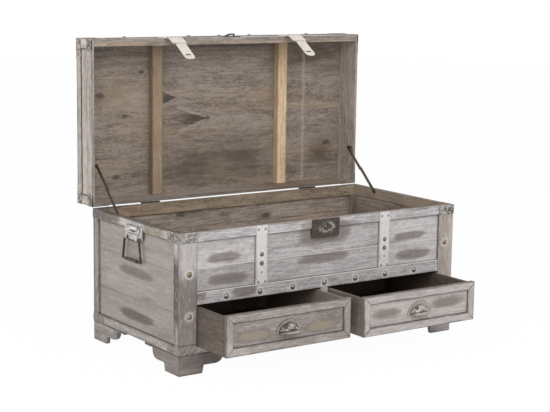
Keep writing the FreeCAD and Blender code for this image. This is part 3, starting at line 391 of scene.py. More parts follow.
def whitewash(
        name, wash, under, cover, marks=(), face=(X, Z), lines=(), seams=(), rub=None, stains=(), edge=0.35,
        chalk=0.35, nails=(), fold=None, grainy=1.0, halo=0.0, flecked=0.25):
    """Whitewash brushed thinly along the grain: patchy cover over a darker ground, chalky strokes, stained
    stretches, flecks, rubbed oval marks, worn edges, grime and painted shade in dark lines beside the strips and
    round the nails, and painted highlights in pale lines at the seams."""
    made, spot = new_material(name)
    place = spot.split()
    grain = spot.read("grain")
    fine, stroke, patch = brush_work(grain)
    blotch = grain.noise(55, 95, 5, 0.7)
    fleck = grain.noise(42, 105, 6, 0.8)
    crack = 1 - abs(grain.noise(6, 62, 3, 0.6) - 0.5).ramp(0.012, 0.05)
    rim, chance = board_rim(grain, stroke)
    hairs = (stroke - 0.5) * 1.1 + (fine - 0.5) * 0.6 + (blotch - 0.5)
    level = cover + (patch - 0.5) * 1.8 + hairs * grainy + (chance - 0.5) * 0.12
    coats = [
        (crack * patch.ramp(0.4, 0.56) * (0.45 * grainy), under),
        (grain.noise(110, 190, 2).ramp(0.62, 0.7) * (0.5 * grainy), "end_under"),
        (grain.noise(9, 120, 5, 0.7).ramp(0.55, 0.66) * chalk, "strap_wash"),
        *stained(place, patch - 0.5, stains),
        (fleck.ramp(0.53, 0.61) * flecked, "strap_wash"),
        ((1 - fleck).ramp(0.53, 0.61) * flecked, "end_under")]
    ragged = (patch - 0.5) * 0.9 + (stroke - 0.5) * 2.0 + (blotch - 0.5) * 0.9
    across, up = (place[axis] for axis in face)
    core = (0.9, 0.8) if halo else (1.0, 1.0)
    for mark, colour in zip(marks, rub or ("rub",) * len(marks)):
        if halo:
            coats.append((oval(across, up, mark, ragged, 1.25, 1.3) * halo, "rub"))
        inside = oval(across, up, mark, ragged, *core)
        coats.append((inside * (0.2 + stroke * 0.7 + blotch * 0.4), colour))
    coats += [(fine.ramp(0.5, 0.8) * (0.2 * grainy), under), (rim * edge, "grime_and_shade")]
    if nails:
        sideways = place[X].math("PINGPONG", place[X], fold) if fold else abs(place[X])
        ring, rubbed = nail_rings(sideways, place[Z], nails)
        # Grime and painted shade in the ring under each nail's rim, and a pale rubbed halo round it.
        coats += [(rubbed * 0.45, "chalk"), (ring * 0.7, "grime_and_shade")]
    # Dark lines where parts meet are grime and painted shade; pale seam lines are painted highlights.
    for colour, group in (("grime_and_shade", lines), ("chalk", seams)):
        coats += [(near_line(place[axis], levels, width) * 0.8, colour) for axis, levels, width in group]
    colour = layered(mixed(level.ramp(0.05, 0.95), under, wash), *coats)
    return finish_surface(made, colour, 0.56 + stroke * 0.2, fine * 0.5 + stroke * 0.5, 0.0006)


def wedge(place, tip, ragged):
    """The dark wedge of bark that runs from a knot's tip along the grain, and the pale line round it."""
    across, up, reach, spread = tip
    back = (across - place[X]) / reach
    side = abs(place[Z] - up) / (spread * back.most(0.06)) + ragged
    along = back.ramp(0.0, 0.05) * (1 - (back + ragged * 0.4).ramp(0.45, 1.2))
    return (1 - side.ramp(0.35, 1.45)) * along, side.ramp(0.9, 1.1) * (1 - side.ramp(1.2, 1.6)) * along


def smoky(place, mark, ragged):
    """A soft dark patch: the bell curve of the distance from its middle, made ragged."""
    middle, level, wide, high = mark
    return (squares((place[X] - middle) / wide, (place[Z] - level) / high) + ragged).most(0.0).falloff()


def bare_wood(
        name, pale, dark, knots=(), wedges=(), smoke=(), stains=(), edge=0.3, warm=0.25, streaky=1.0,
        speckled=0.25, scratched=0.35):
    """Unpainted boards: mottled, speckled grain that bends round knots, pale scratches, smoky and tan stains."""
    made, spot = new_material(name)
    place = spot.split()
    grain = spot.read("grain")
    hearts = []
    if knots:
        grain, heart = knotted(place, grain, knots)
        hearts = [(heart * 0.8, "bark")]
    fine, stroke, patch = brush_work(grain)
    mottle = grain.noise(26, 70, 6, 0.72)
    speckle = grain.noise(95, 190, 5, 0.75)
    rim, chance = board_rim(grain, stroke)
    streaks = (patch - 0.5) * 1.3 + (stroke - 0.5) * 1.2 + (mottle - 0.5) * 1.1 + (fine - 0.5) * 1.1
    level = 0.58 + streaks * streaky + (speckle - 0.5) * (3.0 * speckled) + (chance - 0.5) * 0.1
    rings = grain.noise(1.5, 10, 1) * 90.0
    coats = [
        (rings.math("SINE", rings).ramp(0.35, 1.0) * (0.3 * streaky), dark),
        (grain.noise(16, 110, 5, 0.72).ramp(0.57, 0.68) * scratched, "inside_chalk"),
        (grain.noise(2.5, 12).ramp(0.52, 0.72) * warm, "pine_dark")]
    clouds = (patch - 0.5) * 1.6 + (mottle - 0.5) * 1.6
    coats += [(smoky(place, mark, clouds) * 0.9, dark) for mark in smoke]
    coats += stained(place, patch - 0.5, stains)
    for tip in wedges:
        inside, outline = wedge(place, tip, (stroke - 0.5) * 1.1 + (mottle - 0.5) * 1.3)
        coats += [(outline * 0.5, "inside_chalk"), (inside * 0.9, "bark")]
    coats += [*hearts, (fine.ramp(0.52, 0.8) * 0.25, dark), (rim * edge, "grime_and_shade")]
    colour = layered(mixed(level.ramp(0.05, 1.0), dark, pale), *coats)
    return finish_surface(made, colour, 0.6 + stroke * 0.2, fine * 0.5 + mottle * 0.5, 0.0006)


def pressed_boss(place):
    """The dark marks of a handle plate, which are the line round its oval boss, painted shade in a crescent across
    the boss, painted shadow along the plate's lower edge and dark lines along its sides; and a painted highlight
    on the pale ridge above the crescent."""
    along = abs(place[Y] - HANDLE_Y)
    lift = place[Z] - HANDLE_Z
    line = 1 - abs(distance((along - 0.026).most(0.0), lift) - 0.012).ramp(0.0006, 0.0024)
    bow = along * along * 9.0
    # Painted shade: the lower half of the raised boss in a dark crescent.
    painted_shade_crescent = 1 - (abs(lift + 0.0035) + bow).ramp(0.002, 0.0056)
    # Painted highlight: the upper half of the boss as a pale ridge.
    painted_highlight_ridge = 1 - (abs(lift - 0.0035) + bow).ramp(0.002, 0.005)
    # Painted shadow along the plate's lower edge.
    foot = 1 - (place[Z] - PLATE_LOW.z).ramp(0.002, 0.007)
    flank = 1 - (PLATE_HIGH.y - HANDLE_Y - along).ramp(0.001, 0.004)
    return (line * 0.8).most(painted_shade_crescent).most(foot).most(flank * 0.8), painted_highlight_ridge


def washed_metal(name, base, metallic=0.25, pressed_oval=False, stains=(), scrolls=()):
    """Pressed sheet metal brushed over with whitewash: pale on the high places, dark specks in the low ones, and
    dark winding hollows where scrolls are pressed into it."""
    made, spot = new_material(name)
    place = spot.split()
    brushed = spot.noise(40, 40, 4, 0.6)
    specks = spot.noise(420, 420, 3, 0.6).ramp(0.58, 0.68)
    low = spot.noise(130, 130, 3, 0.6, 0.8).ramp(0.53, 0.6) * 0.75 + specks * 0.7
    coats = [(brushed.ramp(0.45, 0.7) * 0.3, "end_under")]
    # On the handle plates, painted shade and shadow darken the boss and the lower edge, and a painted highlight in
    # the chalk colour pales the ridge.
    if pressed_oval:
        hollows, painted_highlight_ridge = pressed_boss(place)
        low = low.most(hollows * 0.95)
        coats.append((painted_highlight_ridge * 0.9, "chalk"))
    colour = layered(mixed(low, base, "cap_dark"), *coats, *stained(place, brushed - 0.5, stains))
    if scrolls:
        winding = 1 - abs(spot.noise(62, 62, 1, 0.5, 1.0) - 0.5).ramp(0.05, 0.13)
    for share, *limits in scrolls:
        scroll = stretch(place, brushed - 0.5, limits) * winding * share
        colour = mixed(scroll, colour, "cap_dark")
        low = low.most(scroll)
    return finish_surface(made, colour, 0.34 + brushed * 0.3, 1 - low, 0.0007, metallic)


def plain_metal(name, base, worn, metallic, roughness, wear=0.5, fold_shadows=(), stains=()):
    """Bare or browned metal: small dents, a brushed sheen, worn patches of a second colour, stained stretches,
    and dark lines of painted shadow where the sheet folds."""
    made, spot = new_material(name)
    place = spot.split()
    scuffs = spot.noise(55, 55, 5, 0.65)
    coats = stained(place, scuffs - 0.5, stains)
    if fold_shadows:
        # Painted shadow: a dark line at each fold.
        coats.append((near_line(place[Y], fold_shadows, 0.0034) * 0.75, "cap_dark"))
    colour = layered(mixed(scuffs.ramp(0.48, 0.72) * wear, base, worn), *coats)
    dents = spot.noise(130, 130, 3, 0.55)
    return finish_surface(made, colour, roughness + (scuffs - 0.5) * 0.3, dents, 0.0003, metallic)


def scratched_lock(name):
    """Dark bronze plate, darkest at the keyhole, with pale scrapings in a ragged band below and right of it."""
    made, spot = new_material(name)
    place = spot.split()
    run = place[X] / 0.025
    rise = (place[Z] - KEYHOLE_Z) / 0.014
    beyond = squares(run, rise)
    scrape = spot.noise(150, 150, 6, 0.8, 0.5)
    scuffs = spot.noise(70, 70, 4, 0.6)
    around = beyond + (scuffs - 0.5) * 2.5
    band = around.ramp(0.3, 0.9) * (1 - around.ramp(0.9, 2.4)) * (run * 0.8 - rise).ramp(-1.6, 1.0)
    pale = (scrape.ramp(0.46, 0.56) * band).most(scrape.ramp(0.56, 0.68) * 0.35)
    colour = layered(
        mixed(scuffs.ramp(0.4, 0.7) * 0.5, "lock", "grime_and_shade"),
        ((1 - beyond.ramp(0.06, 0.3)) * 0.8, "drawer_wood_dark"), (pale * 0.95, "strap_wash"))
    return finish_surface(made, colour, 0.42 + scuffs * 0.2, pale + scuffs * 0.3, 0.0005, 0.3)


def relief_metal(name):
    """Cast metal whose hollows and painted shade, carried by the mesh, are dark and whose high places are rubbed
    pale; the left pull is the darker."""
    made, spot = new_material(name)
    deep = spot.read("hollow_and_shade").split()[0]
    scuffs = spot.noise(190, 190, 4, 0.6, 0.6)
    # The left pull is painted darker, the right paler.
    left_darkening = 0.15 - spot.split()[X].ramp(-0.1, 0.1) * 0.3
    colour = mixed((deep + (scuffs - 0.5) * 2.2 + left_darkening).ramp(0.1, 1.0), "cap", "cap_dark")
    return finish_surface(made, colour, 0.3 + scuffs * 0.25, scuffs, 0.0006, 0.35)


# Places of the marks, in metres. A mark is its middle across and up, and its half width and half height; a line
# is its axis, its levels and its width; a stain is its colour, its share and its limits along some axes; a scroll
# is its share and its limits; a nail is its place and its radius; a knot is its place and its half width; a wedge
# is the place of its tip, its length and its spread.

BAY_MARKS = (
    (-0.351, 0.322, 0.056, 0.015), (-0.337, 0.261, 0.070, 0.017), (0.001, 0.287, 0.098, 0.018),
    (0.004, 0.362, 0.098, 0.038), (0.330, 0.321, 0.062, 0.014), (0.343, 0.262, 0.072, 0.017))
# Dark lines, here and on the stiles, ends, lid, drawers and feet, are grime and painted shade where strips and
# rails stand proud of the panels and where parts meet.
BAY_LINES = (
    (X, (-0.442, -0.245, -0.205, 0.205, 0.245, 0.442), 0.0035), (Z, (0.2335, 0.3755), 0.0035))
BAY_STAINS = (
    ("front_under", 0.14, (X, -0.23, 0.21)), ("strap_wash", 0.2, (X, 0.24, 0.5)),
    ("strap_wash", 0.3, (X, -0.5, -0.24), (Z, 0.305, 0.38)),
    ("front_under", 0.35, (X, -0.5, -0.24), (Z, 0.23, 0.295)))
RAIL_MARKS = ((-0.282, 0.222, 0.046, 0.018), (0.004, 0.362, 0.098, 0.042), (-0.44, 0.225, 0.03, 0.02))
RAIL_NAILS = ((0.0, 0.212, 0.007),)
RAIL_NAIL_FOLD = 0.0575
CAP_LINE = (Z, (0.0868, 0.3762), 0.003)
STILE_STAINS = (
    ("end_under", 0.6, (X, -0.52, -0.4), (Z, 0.185, 0.268)),
    ("end_under", 0.3, (X, -0.52, -0.4), (Z, 0.05, 0.185)),
    ("cleat", 0.3, (X, 0.4, 0.52), (Z, 0.0, 0.6)),
    ("strap_wash", 0.3, (X, 0.48, 0.52), (Z, 0.0, 0.37)),
    ("strap_wash", 0.4, (X, -0.52, -0.4), (Z, 0.29, 0.42)))
STILE_NAILS = ((0.467, 0.167, 0.007), (0.467, 0.287, 0.007))
STRAP_NAILS = (
    (STRAP_X, 0.320, 0.0055), (STRAP_X, 0.2935, 0.006), (STRAP_X, STRAP_PIN_Z, 0.0020),
    *((STRAP_X + shift, level, 0.0029) for shift, level in STRAP_TACKS))
END_MARKS = ((0.049, 0.250, 0.100, 0.016), (0.045, 0.122, 0.100, 0.016))
END_LINES = ((Y, (-0.1745, 0.2650), 0.0035), (Z, (0.0835, 0.3755), 0.0035))
END_STRIP_STAINS = (
    ("inside_dark", 0.6, (Y, 0.137, 0.33), (Z, 0.375, 0.43)),
    ("strap_wash", 0.65, (Y, 0.0, 0.137), (Z, 0.375, 0.43)),
    ("drawer_rub", 0.7, (Y, -0.112, -0.005), (Z, 0.375, 0.43)),
    ("strap_wash", 0.5, (Y, -0.24, -0.12), (Z, 0.36, 0.43)),
    ("inside_dark", 1.0, (Y, -0.203, -0.160), (Z, 0.15, 0.335)),
    ("bark", 0.85, (Y, -0.3, 0.3), (Z, 0.4012, 0.4085)),
    ("strap_wash", 0.15, (Y, -0.16, 0.26), (Z, 0.03, 0.085)))
LID_LINES = ((Y, (0.327, 0.366), 0.0016), (Z, (0.437, 0.8785), 0.003))
DRAWER_MARKS = (
    (-0.348, 0.129, 0.055, 0.015), (-0.116, 0.128, 0.050, 0.015),
    (0.103, 0.138, 0.044, 0.014), (0.337, 0.145, 0.054, 0.014))
# Painted shadow along the inner edges of the drawer fronts' frames.
DRAWER_LINES = ((X, (-0.417, -0.039, 0.039, 0.417), 0.0034), (Z, (0.1034, 0.173), 0.0034))
LEFT_DRAWER = ((X, -0.46, -0.01), (Z, 0.05, 0.22))
RIGHT_DRAWER_STAIN = ("strap_wash", 0.3, (X, 0.01, 0.46), (Z, 0.05, 0.22))
FOOT_STAINS = (
    ("drawer_under", 0.4, (X, -0.52, -0.2), (Y, -0.3, 0.05)),
    ("strap_wash", 0.35, (X, 0.2, 0.52), (Y, -0.3, 0.4)))
RIM_STAIN = ("bark", 0.8, (X, -0.6, -0.4), (Z, 0.402, 0.409))
TRUNK_KNOTS = ((-0.2, 0.36, 0.012), (0.12, 0.33, 0.014))
LID_KNOTS = (
    (-0.038, 0.646, 0.008), (-0.283, 0.801, 0.008), (-0.429, 0.732, 0.013), (-0.339, 0.666, 0.010),
    (-0.373, 0.477, 0.010), (0.440, 0.540, 0.012))
LID_WEDGES = ((-0.038, 0.646, 0.115, 0.036), (-0.155, 0.717, 0.07, 0.03))
LID_SMOKE = (
    (0.093, 0.508, 0.1, 0.065), (-0.08, 0.498, 0.105, 0.06), (-0.43, 0.725, 0.05, 0.025),
    (0.41, 0.510, 0.045, 0.045), (0.05, 0.885, 0.2, 0.015), (0.36, 0.84, 0.1, 0.04))
LID_INSIDE_STAINS = (
    ("inside_chalk", 0.3, (X, 0.3345, 0.3455), (Z, 0.40, 0.90)),
    ("cleat", 0.35, (X, -0.42, -0.26), (Z, 0.68, 0.76)))
LID_LEDGE_STAINS = (
    ("inside_dark", 0.4, (X, -0.47, 0.3), (Z, 0.40, 0.425)),
    ("pine_dark", 0.35, (X, 0.15, 0.48), (Z, 0.40, 0.425)),
    ("stay", 0.5, (X, 0.15, 0.48), (Z, 0.40, 0.425)))
CAP_STAINS = (
    ("end_under", 0.55, (Y, 0.1, 0.4), (Z, 0.0, 0.42)), ("end_under", 0.45, (Y, -0.3, 0.1), (Z, 0.0, 0.12)),
    ("strap_wash", 0.35, (Y, -0.3, 0.1), (Z, 0.37, 0.42)))
CAP_SCROLLS = (
    (0.8, (X, 0.450, 0.505), (Z, 0.372, 0.398)), (0.4, (X, -0.500, -0.445), (Z, 0.372, 0.400)),
    (0.8, (Y, -0.205, -0.145), (Z, 0.372, 0.406)), (0.6, (Y, 0.240, 0.300), (Z, 0.372, 0.406)))
LID_SCROLLS = ((0.85, (Z, 0.870, 0.910)), (0.8, (Z, 0.405, 0.445)))

FINISHES = {}


class CHEST_OT_finishes(bpy.types.Operator):
    """Make the finishes of the wood and the metal"""

    bl_idname = "chest.finishes"
    bl_label = "Finishes"

    def execute(self, context):
        FINISHES.update({
            "front": whitewash(
                "whitewash_front", "front_wash", "front_under", 0.78, BAY_MARKS, lines=BAY_LINES,
                # The pale seam line is a painted highlight along a plank's edge.
                seams=[(Z, (0.301,), 0.0024)], stains=BAY_STAINS, edge=0.15, chalk=0.6),
            "front_rail": whitewash(
                "whitewash_rails", "front_wash", "front_under", 0.66, RAIL_MARKS, nails=RAIL_NAILS,
                # The pale seam line is a painted highlight on the mid rail's top edge.
                fold=RAIL_NAIL_FOLD, seams=[(Z, (0.2325,), 0.0013)], chalk=0.5),
            "stile": whitewash(
                "whitewash_stiles", "stile_wash", "front_under", 0.6, lines=[CAP_LINE, (X, (-0.442,), 0.003)],
                stains=STILE_STAINS, nails=STILE_NAILS),
            "strap": whitewash(
                "whitewash_straps", "strap_wash", "front_wash", 0.8, nails=STRAP_NAILS, edge=0.3, chalk=0.2,
                flecked=0.1),
            "end": whitewash(
                "whitewash_ends", "end_wash", "end_under", 0.74, END_MARKS, (Y, Z), END_LINES,
                stains=[("end_under", 0.15, (Y, -0.3, 0.4), (Z, 0.04, 0.17))], rub=("rub", "drawer_wood_dark"),
                edge=0.12, chalk=0.25, grainy=0.45, flecked=0.12),
            "end_strip": whitewash(
                "whitewash_end_strips", "end_wash", "end_under", 0.6, lines=[CAP_LINE], stains=END_STRIP_STAINS),
            "lid": whitewash(
                "whitewash_lid", "lid_wash", "end_under", 0.66, lines=LID_LINES,
                stains=[("strap_wash", 0.45, (Z, 0.9, 0.95))], edge=0.4, grainy=0.75),
            "drawer": whitewash(
                "whitewash_drawers", "drawer_wash", "drawer_under", 0.68, DRAWER_MARKS, lines=DRAWER_LINES,
                rub=("drawer_rub",) * 2 + ("drawer_rub_grey",) * 2,
                stains=[("drawer_under", 0.36, *LEFT_DRAWER), RIGHT_DRAWER_STAIN], grainy=0.7, halo=0.55),
            "drawer_strip": whitewash(
                "whitewash_drawer_strips", "drawer_wash", "drawer_under", 0.68, edge=0.7, grainy=0.8, stains=[
                    ("drawer_under", 0.22, *LEFT_DRAWER),
                    ("strap_wash", 0.25, (X, -0.46, -0.36), (Z, 0.05, 0.13)), RIGHT_DRAWER_STAIN]),
            "foot": whitewash(
                # Painted shadow at the floor and where the foot meets the trunk.
                "whitewash_feet", "foot_wash", "drawer_under", 0.5, lines=[(Z, (0.0, 0.058), 0.004)],
                stains=FOOT_STAINS, flecked=0.1),
            "inside": bare_wood(
                "bare_inside", "trunk_pale", "trunk_dark", TRUNK_KNOTS,
                stains=[RIM_STAIN, ("inside_dark", 0.35, (X, 0.455, 0.5), (Z, 0.2, 0.375))]),
            "lid_inside": bare_wood(
                "bare_lid", "inside_pale", "inside_dark", LID_KNOTS, LID_WEDGES, LID_SMOKE, LID_INSIDE_STAINS,
                edge=0.08, streaky=0.8, speckled=0.45),
            "lid_wall": bare_wood(
                "bare_lid_walls", "lid_wall", "drawer_under", stains=LID_LEDGE_STAINS, warm=0.05, streaky=0.6),
            "lid_cleat": bare_wood("bare_lid_cleat", "lid_cleat", "drawer_under", warm=0.4, streaky=0.6),
            "pine": bare_wood(
                "bare_pine", "pine", "pine_dark", stains=[("inside_dark", 0.6, (X, -0.3, -0.1), (Z, 0.3, 1.0))],
                warm=0.05),
            "cleat": bare_wood(
                "bare_cleats", "cleat", "inside_dark", warm=0.45,
                stains=[RIM_STAIN, ("trunk_pale", 0.35, (X, 0.462, 0.5), (Y, -0.2, 0.29))]),
            "drawer_box": bare_wood(
                "brown_drawer_wood", "drawer_wood", "drawer_wood_dark", warm=0.1, streaky=0.8, scratched=0.12,
                stains=[("trunk_pale", 0.45, (X, -0.05, 0.02), (Z, 0.0, 0.3))]),
            "cap": washed_metal("washed_caps", "cap", stains=CAP_STAINS, scrolls=CAP_SCROLLS),
            "lid_cap": washed_metal("washed_lid_caps", "lid_cap", 0.15, scrolls=LID_SCROLLS),
            "handle_plate": washed_metal("washed_handle_plates", "strap_wash", pressed_oval=True),
            "relief": relief_metal("cast_relief"),
            "hasp": plain_metal("pale_hasps", "hasp", "cap", 0.35, 0.36, 0.4, HASP_FOLDS),
            "bail": plain_metal("worn_bails", "stay", "cap", 0.4, 0.4, 0.55),
            "keyhole": plain_metal("dark_lock_case", "grime_and_shade", "cap_dark", 0.2, 0.7),
            "iron": plain_metal("browned_iron", "iron", "cap_dark", 0.6, 0.4),
            # The right stay is painted paler and greyer than the left one.
            "stay": plain_metal(
                "browned_stays", "stay", "grime_and_shade", 0.1, 0.6,
                stains=[("stay_worn", 0.85, (X, 0.3, 0.6), (Z, 0.407, 0.513))]),
            "lock": scratched_lock("scraped_lock"),
            "tack": plain_metal("pale_tacks", "cap", "steel", 0.4, 0.4),
            "steel": plain_metal("steel_nails", "steel", "cap_dark", 0.7, 0.3, 0.4),
            "brass": plain_metal("brass_nails", "brass", "steel", 0.85, 0.28, 0.4),
        })
        return {"FINISHED"}


# Meshes


SHARP_ANGLE = math.radians(38)


def new_object(name, data):
    """An object in the scene."""
    thing = bpy.data.objects.new(name, data)
    bpy.context.scene.collection.objects.link(thing)
    return thing


def new_mesh(name, points, faces, materials):
    """A mesh object from arrays."""
    mesh = bpy.data.meshes.new(name)
    mesh.from_pydata(points.reshape(-1, 3), [], faces)
    for made in materials:
        mesh.materials.append(made)
    return new_object(name, mesh)


def mesh_piece(name, points, faces, body, slot, *finishes, indices=(), vectors=None):
    """A piece with its finishes, and with its vectors stored by name, riding on a body."""
    piece = new_mesh(name, points, faces, [FINISHES[finish] for finish in finishes])
    if len(indices):
        piece.data.polygons.foreach_set("material_index", np.asarray(indices, np.int32))
    for label, values in (vectors or {}).items():
        layer = piece.data.attributes.new(label, "FLOAT_VECTOR", "POINT")
        layer.data.foreach_set("vector", np.asarray(values, np.float32).ravel())
    piece.data.update()
    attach(piece, body)
    return piece


def smooth(piece):
    """Shade a piece smoothly, except across sharp angles."""
    piece.data.shade_smooth()
    piece.data.set_sharp_from_angle(angle=SHARP_ANGLE)


def boxes_of(node):
    """Lowest and highest corners of each rectangular board in a node: each has twelve triangles in a row."""
    mesh = frame["nodes"][node].data
    points = np.empty(len(mesh.vertices) * 3, np.float32)
    mesh.vertices.foreach_get("co", points)
    order = np.empty(len(mesh.loops), np.int32)
    mesh.loops.foreach_get("vertex_index", order)
    corners = points.reshape(-1, 3)[order].reshape(-1, 36, 3).astype(float)
    return list(zip(corners.min(1), corners.max(1)))


def full_turn(count):
    """Angles evenly round a circle."""
    return np.linspace(0, 2 * math.pi, count, endpoint=False)


def grid(rows, columns):
    """Two parameters on a grid, row by row."""
    return np.meshgrid(rows, columns, indexing="ij")


def grid_faces(rows, columns, closed=True):
    """Quads between the points of a grid stored row by row, joined round when closed."""
    row, column = grid(np.arange(rows - 1), np.arange(columns if closed else columns - 1))
    following = (column + 1) % columns
    quads = np.stack((
        row * columns + column, row * columns + following,
        (row + 1) * columns + following, (row + 1) * columns + column), -1)
    return quads.reshape(-1, 4)


def tube_faces(rows, columns):
    """Quads round a grid that is joined round, and the two faces that close its ends."""
    last = (rows - 1) * columns
    return grid_faces(rows, columns), (np.arange(columns)[::-1], np.arange(last, last + columns))


def face_list(quads, caps=(), start=0):
    """Quads and caps as one list of faces, counted from a start."""
    return [*(quads + start).tolist(), *((cap + start).tolist() for cap in caps)]


class Boards:
    """Boards gathered into one mesh, each with its own run of the grain."""

    def __init__(self, chance):
        self.chance = chance
        self.points, self.faces, self.indices = [], [], []
        self.vectors = {"grain": [], "spot": [], "reach": []}

    def add(self, points, quads, caps, local, spot, half):
        """One board: its points and faces, its points along the grain and from its middle, and half its size."""
        self.faces += face_list(quads, caps, sum(map(len, self.points)))
        self.points.append(points)
        self.vectors["grain"].append(local + self.chance.uniform(-9, 9, 3))
        self.vectors["spot"].append(spot)
        self.vectors["reach"].append(np.tile((*half, self.chance.uniform()), (len(local), 1)))

    def piece(self, name, node, body, slot, *finishes):
        """The piece that stands for a node."""
        vectors = {label: np.concatenate(parts) for label, parts in self.vectors.items()}
        made = mesh_piece(
            name, np.concatenate(self.points), self.faces, body, slot, *finishes, indices=self.indices,
            vectors=vectors)
        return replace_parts(made, node)


STATION = 0.045
ROUND = 12
TURNS = np.radians(np.repeat((0.0, 90.0, 180.0, 270.0), 3) + np.tile((0.0, 45.0, 90.0), 4))
CORNER_B = np.repeat((1.0, -1.0, -1.0, 1.0), 3)
CORNER_C = np.repeat((1.0, 1.0, -1.0, -1.0), 3)
SIDE_FACES = {(1, 1): (10, 11, 0), (2, 1): (1, 2, 3), (1, -1): (4, 5, 6), (2, -1): (7, 8, 9)}


def eased_board(low, high, axis, ease, chance):
    """A board: a rectangle with rounded corners, carried along the grain from station to station. The
    rounding is a little deeper or shallower at each station, and the rectangle draws in at both ends."""
    order = [axis, (axis + 1) % 3, (axis + 2) % 3]
    middle = ((low + high) / 2)[order]
    half = ((high - low) / 2)[order]
    inner = np.linspace(ease - half[0], half[0] - ease, max(3, int(2 * half[0] / STATION)))
    along = np.concatenate(([-half[0]], inner, [half[0]]))
    cut = ease * chance.uniform(0.55, 1.0, (len(along), ROUND))
    drawn = np.zeros((len(along), 1))
    drawn[[0, -1]] = ease
    b = CORNER_B * (half[1] - drawn - cut) + cut * np.cos(TURNS)
    c = CORNER_C * (half[2] - drawn - cut) + cut * np.sin(TURNS)
    local = np.stack((np.broadcast_to(along[:, None], b.shape), b, c), -1).reshape(-1, 3)
    points = np.empty_like(local)
    points[:, order] = local + middle
    return points, local, half


def board_node(node, body, slot, grain, inside, outside=None, centre=TRUNK_MIDDLE, seed=0, share=1.0):
    """All the boards of a node, each with its own run of the grain. The faces that look away from the
    centre, through the boards' thickness, get the outside finish."""
    ease = bpy.context.scene.chest_sizes.ease * share
    boards = Boards(np.random.default_rng(seed))
    for low, high in boxes_of(node):
        axis = grain if grain is not None else int(np.argmax(high - low))
        points, local, half = eased_board(low, high, axis, ease, boards.chance)
        quads, caps = tube_faces(len(points) // ROUND, ROUND)
        wide = 1 if half[1] > half[2] else 2
        thin = 3 - wide
        outer = np.zeros((len(quads) // ROUND, ROUND), int)
        if outside:
            sign = 1 if ((low + high) / 2 - centre)[(axis + thin) % 3] > 0 else -1
            outer[:, SIDE_FACES[thin, sign]] = 1
        boards.indices += [*outer.ravel(), 0, 0]
        boards.add(points, quads, caps, local, local[:, [0, wide, thin]], (half[0], half[wide]))
    boards.piece(f"{node}_boards", node, body, slot, *filter(None, (inside, outside)))


FINE_EDGES = {"carcass": 0.5, "lid": 0.25}


def board_plan(plan, body, centre, first_seed):
    """The boards of several nodes; those with an outside finish have finer edges."""
    for seed, (node, slot, grain, *finishes) in enumerate(plan, first_seed):
        share = FINE_EDGES[body] if finishes[1:] else 1.0
        board_node(node, body, slot, grain, *finishes, centre=centre, seed=seed, share=share)


FOOT_ARC = np.radians(np.linspace(-90, 0, 9))
FOOT_OUTLINE = np.concatenate((
    ((0.0, 0.0), (0.077, 0.0), (0.082, 0.023)),
    np.stack((0.122 + 0.025 * np.cos(FOOT_ARC), 0.048 + 0.025 * np.sin(FOOT_ARC)), -1),
    ((0.147, 0.052), (0.190, 0.052), (0.190, 0.059), (0.0, 0.059))))
FOOT_BOARD = 0.014
FOOT_HALF = (0.095, 0.03)


def foot_boards(corner, way):
    """The two boards of a bracket foot: a stepped outline carried through the board's thickness, with its
    corner end drawn in by the thickness for the mitre, once along X and once along Y."""
    count = len(FOOT_OUTLINE)
    depth = np.repeat((0.0, FOOT_BOARD), count)
    run = np.maximum(np.tile(FOOT_OUTLINE[:, 0], 2), depth)
    rise = np.tile(FOOT_OUTLINE[:, 1], 2)
    ring = np.arange(count)
    following = (ring + 1) % count
    quads = np.stack((ring, ring + count, following + count, following), -1)
    caps = (ring, ring[::-1] + count)
    for swapped in (False, True):
        along, away = (depth, run) if swapped else (run, depth)
        points = np.stack((corner[0] + way[0] * along, corner[1] + way[1] * away, rise), -1)
        turn = -1 if (way[0] * way[1] > 0) == swapped else 1
        yield points, quads[:, ::turn], [cap[::turn] for cap in caps], np.stack((run, rise, depth), -1)


def domes(name, spots, facing, radius, finish):
    """Nail heads at some spots on a face that looks along an axis: rings from the rim to the top, each ring's
    height falling with its radius squared."""
    share, turn = grid(np.linspace(1.0, 0.12, 4), full_turn(14))
    height = bpy.context.scene.chest_sizes.tack_rise * (1 - share ** 2)
    head = np.stack((radius * share * np.cos(turn), radius * share * np.sin(turn), height), -1).reshape(-1, 3)
    turned = np.array(Vector((0, 0, 1)).rotation_difference(Vector(facing)).to_matrix())
    points = np.array(spots)[:, None] + head @ turned.T
    quads, caps = tube_faces(*share.shape)
    faces = sum((face_list(quads, caps, start) for start in range(0, points.size // 3, len(head))), [])
    smooth(mesh_piece(name, points, faces, "carcass", "steel", finish))


class CHEST_OT_carcass(bpy.types.Operator):
    """Build the boards of the trunk"""

    bl_idname = "chest.carcass"
    bl_label = "Trunk boards"

    def execute(self, context):
        board_plan((
            ("end_planks", "whitewash", Y, "inside", "end"),
            ("front_planks", "whitewash", X, "inside", "front"),
            ("back_planks", "whitewash", X, "inside", "end"),
            ("trunk_floor", "weathered", X, "inside"),
            ("drawer_floor", "weathered", X, "inside"),
            ("front_stiles", "whitewash", Z, "stile"),
            ("front_rails", "whitewash", None, "front_rail"),
            ("front_straps", "whitewash_pale", Z, "strap"),
            ("end_strips", "whitewash", None, "end_strip"),
            ("back_strips", "whitewash", None, "end_strip"),
            ("rim_cleats", "weathered", None, "cleat"),
            ("corner_posts", "weathered", Z, "inside"),
            ("drawer_guides", "weathered", Y, "inside")), "carcass", TRUNK_MIDDLE, 0)
        return {"FINISHED"}


